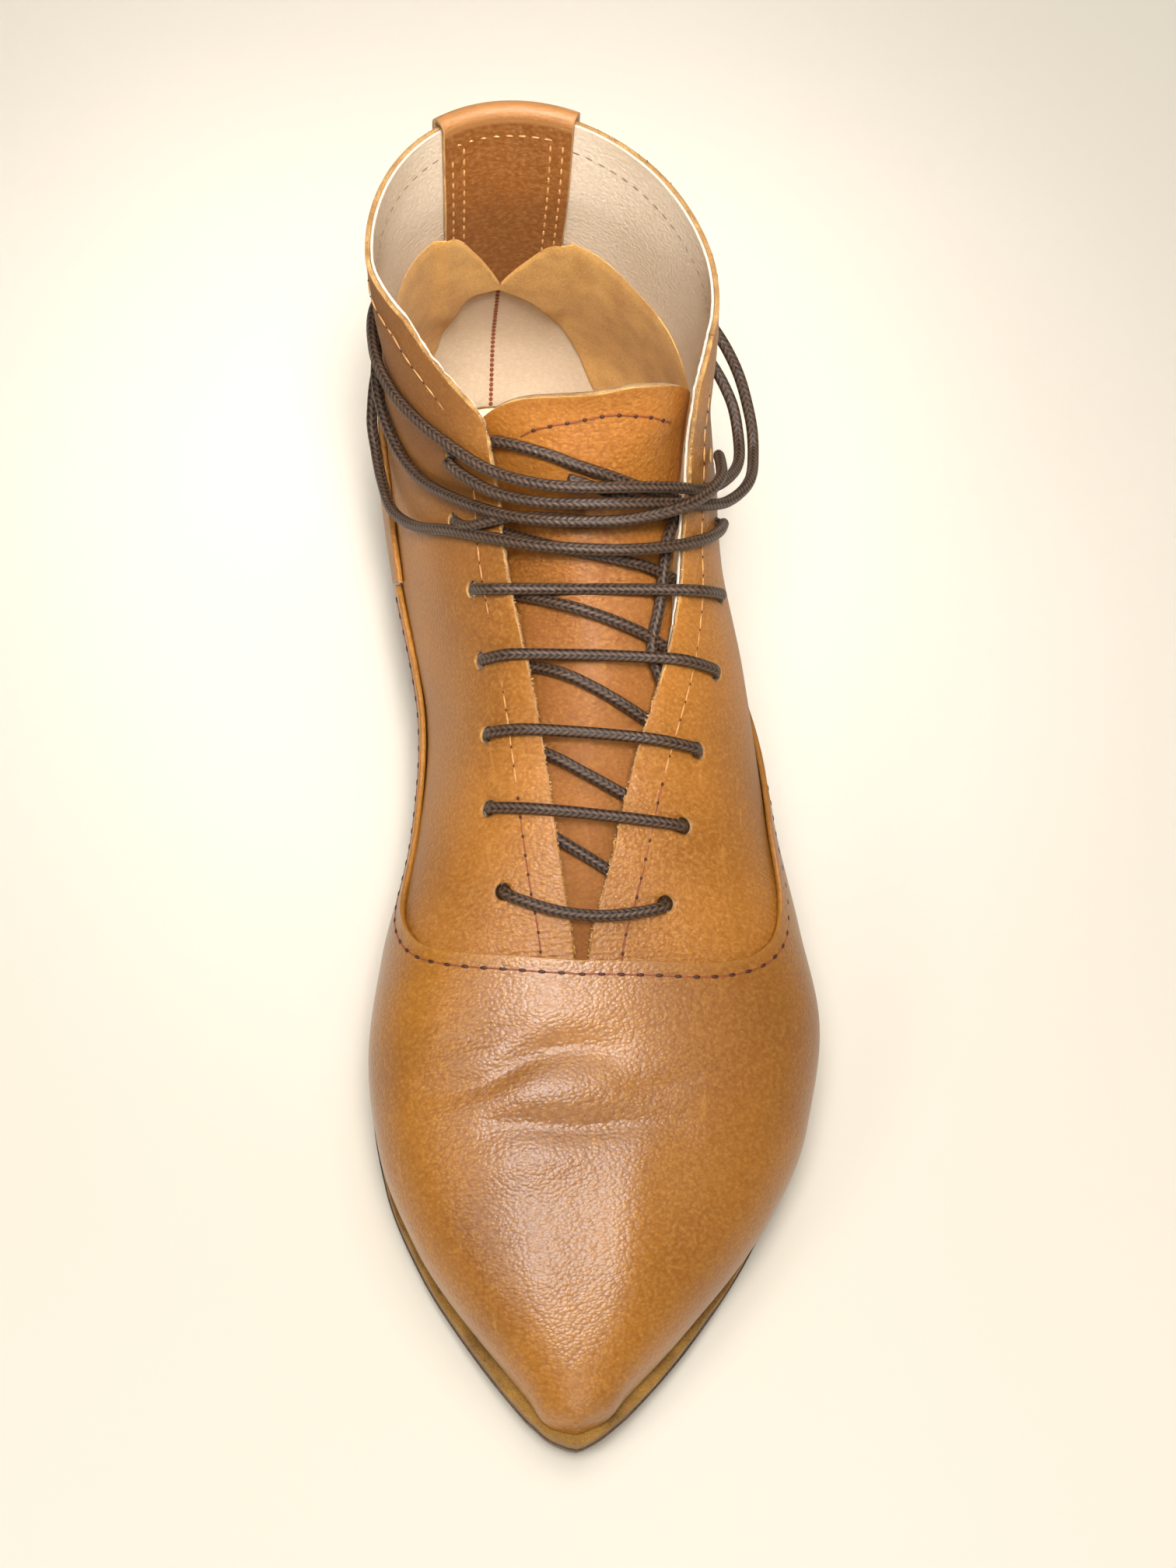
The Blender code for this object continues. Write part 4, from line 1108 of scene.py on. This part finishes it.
def makeSoles():
    sole = {"gap": 0.1, "insole": 2.0, "midsole": 3.3, "outsole": 7.0, "slope": 0.8, "rough": 0.25,
            "heelFront": 9.85, "heelInset": 0.6, "taper": 2.2, "taperHeight": 18.0, "layerGap": 0.06,
            "layers": (0.0, 4.2, 8.2, 12.2, 30.0)}
    soleRows = (  # section, then the margin of insole, midsole and outsole beyond the feather line
        (0, -3.2, 3.9, 4.3), (1, -3.2, 3.7, 4.1), (2, -3.2, 5, 5.4), (3, -3.2, 5.8, 6.2), (5, -2.2, 6.6, 6.9),
        (7, -1.6, 5, 5.2), (9, -1.8, 3.2, 3.4), (10.5, -3, 2.8, 3), (12, -3.4, 2.4, 2.6),
    )
    insole, midsole, outsole = (tableCurve(soleRows, i) for i in (1, 2, 3))
    # sections lie closer where the outline turns
    toe, waist = 3 * np.linspace(0, 1, 30) ** 1.25, np.linspace(3, 10.5, 72)[1:]
    heel = 12 - 1.5 * np.linspace(1, 0, 40)[1:] ** 1.7
    sections = np.concatenate((toe, waist, heel))

    def under(depth):  # height of a sheet that lies so far below the seat
        return lambda d: seatLine(d) - depth

    def cut(section):  # the welt's edge is trimmed by hand, a little uneven
        return midsole(section) + sole["rough"] * np.sin(section * 9.1) * np.sin(section * 3.7 + 1)

    def sloped(section):
        return outsole(section) - sole["slope"]

    def heelShell(level, gap):  # margin and height of a heel layer's face
        share = np.clip(level / sole["taperHeight"], 0, 1)
        return (lambda section: outsole(section) - sole["heelInset"] - sole["taper"] * (1 - share),
                lambda d: np.minimum(level - gap, seatLine(d) - sole["outsole"] - sole["gap"]))

    for name, slot, material, bevel, top, bottom in (
            ("insole_leather", "insole", insoleLeather, 0.5,
             (insole, under(-sole["insole"])), (insole, under(0.0))),
            ("midsole_leather", "midsole", weltLeather, 0.4,
             (cut, under(sole["gap"])), (midsole, under(sole["midsole"]))),
            ("outsole_leather", "outsole", soleLeather, 0.5,
             (outsole, under(sole["midsole"] + sole["gap"])), (sloped, under(sole["outsole"])))):
        dress(makePlate(name, [(top, bottom)], sections, material, bevel), slot, slot)
    layers = [(heelShell(high, sole["layerGap"]), heelShell(low, 0.0))
              for low, high in zip(sole["layers"], sole["layers"][1:])]
    heelSections = np.concatenate((np.linspace(sole["heelFront"], 10.5, 10), heel))
    dress(makePlate("stacked_heel", layers, heelSections, heelLeather, 0.35, columns=8), "heel", "heel")


makeSoles()
print("soles ready")


# seams
def makeSeams():
    seam = {"pitch": 4.3, "tonguePitch": 3.9, "thread": (3.9, 0.45, 0.38), "hole": (0.95, 0.7, 0.4),
            "prick": (0.6, 0.45, 0.3), "pierce": (1.2, 0.95, 0.5), "slot": (1.9, 0.85, 0.5), "holeRise": 0.08,
            "facing": 7.4, "facingLift": 0.1, "redBelow": 8.0, "vamp": 3.1, "vampLift": 1.58,
            "collarFrom": 14.2, "liningLift": -1.86, "liningPitch": 3.2, "liningStitch": (1.9, 0.42, 0.24),
            "frayPitch": 0.5, "frayLift": -0.5, "fray": (0.9, 0.35, 0.35), "wander": 0.15,
            "heelLift": -1.9, "heelPitch": 1.7, "heelStitch": (1.5, 1.1, 0.4),
            "tabLift": 1.2, "tabPitch": 3.0, "tabStitch": (2.0, 0.6, 0.5)}
    pale, red, grey, holes, fray = (bmesh.new() for _ in range(5))

    def sew(thread, path, normals, hole, pitch=seam["pitch"], first=1.0):  # thread lies between needle holes
        addGrains(thread, path, normals, pitch, seam["thread"])
        # painted shade: a dark grain over each needle hole
        addGrains(holes, path + normals * seam["holeRise"], normals, pitch, hole, start=first)

    for side in bothSides:
        section, angle = moveAcross(*edges[side], side, seam["facing"])
        path, normals = surfaceRow(section, angle, side, seam["facingLift"])
        low = section < seam["redBelow"]
        sew(red, path[low], normals[low], seam["hole"])
        sew(pale, path[~low], normals[~low], seam["prick"])
        section, angle = moveAcross(*vampLine[side].T, side, seam["vamp"])
        sew(red, *surfaceRow(section, angle, side, seam["vampLift"]), seam["slot"], first=0.5 - 0.5 * side)
        collar = edges[side][0] > seam["collarFrom"]
        section, angle = moveAcross(edges[side][0][collar], edges[side][1][collar], side, seam["facing"])
        path, normals = surfaceRow(section, angle, side, seam["liningLift"])
        addGrains(grey, path, -normals, seam["liningPitch"], seam["liningStitch"])
        path, normals = surfaceRow(*edges[side], side, seam["frayLift"])
        addGrains(fray, path, normals, seam["frayPitch"], seam["fray"], wander=seam["wander"], seed=3 + side)
    sew(red, *tongueRow, seam["pierce"], pitch=seam["tonguePitch"])
    back = np.linspace(13.8, 12.1, 60)  # the lining's seam at the heel
    path, normals = surfaceRow(back, np.full_like(back, -halfPi), lateral, seam["heelLift"])
    addGrains(red, path, -normals, seam["heelPitch"], seam["heelStitch"])
    for path, normals in tabRows:
        addGrains(pale, path + normals * seam["tabLift"], normals, seam["tabPitch"], seam["tabStitch"])
    for name, bm, material in (("pale_thread", pale, paleThread), ("red_thread", red, redThread),
                               ("grey_thread", grey, greyThread), ("needle_holes", holes, needleHoleShade),
                               ("edge_fibres", fray, rawEdge)):
        dress(addPiece(name, bm, [material]), "upper")


makeSeams()
print("seams ready")


# floor and light
def makeStage():
    stage = {"grain": 260.0, "half": 2.0, "light": (1.0, 0.98, 0.955), "sky": "#FFF7EA", "skyPower": 0.15}
    floorMaterial, tree, shader, spot = newMaterial("pale_paper_floor", roughness=0.8, ior=1.4)
    tint(tree, shader, noise(tree, spot, stage["grain"], detail=2.0), "#E4DCCC", "#E9E2D4")
    bm = bmesh.new()
    bmesh.ops.create_grid(bm, x_segments=2, y_segments=2, size=stage["half"])
    floor = addPiece("floor", bm, [floorMaterial])
    for name, place, aim, size, power, spreadAngle in (
            ("key", (-0.10, -0.50, 1.25), (0.0, -0.1, 0.0), 0.55, 12.6, 180),
            ("top", (0.05, 0.10, 1.20), (0.0, 0.0, 0.05), 0.7, 4.5, 180),
            ("front", (0.10, -1.50, 0.62), (0.0, -0.10, 0.10), 0.7, 1.8, 120),
            ("left", (-0.70, -0.50, 0.85), (-0.01, -0.24, 0.04), 0.4, 0.06, 24),
            ("collar", (0.0, -0.36, 0.95), (0.0, 0.0, 0.10), 0.25, 0.12, 15)):  # reaches down into the shaft
        data = bpy.data.lights.new(name, "AREA")
        data.shape = "DISK"
        data.size = size
        data.energy = power
        data.spread = math.radians(spreadAngle)
        data.color = stage["light"]
        lamp = addObject(name, data)
        lamp.location = place
        lamp.rotation_euler = (Vector(aim) - Vector(place)).to_track_quat("-Z", "Y").to_euler()
    world = bpy.data.worlds.new("soft_room")
    world.use_nodes = True
    sky = world.node_tree.nodes["Background"]
    sky.inputs["Color"].default_value = linear(stage["sky"])
    sky.inputs["Strength"].default_value = stage["skyPower"]
    bpy.context.scene.world = world
    bpy.context.scene.view_settings.view_transform = "Standard"


makeStage()
print("stage ready")
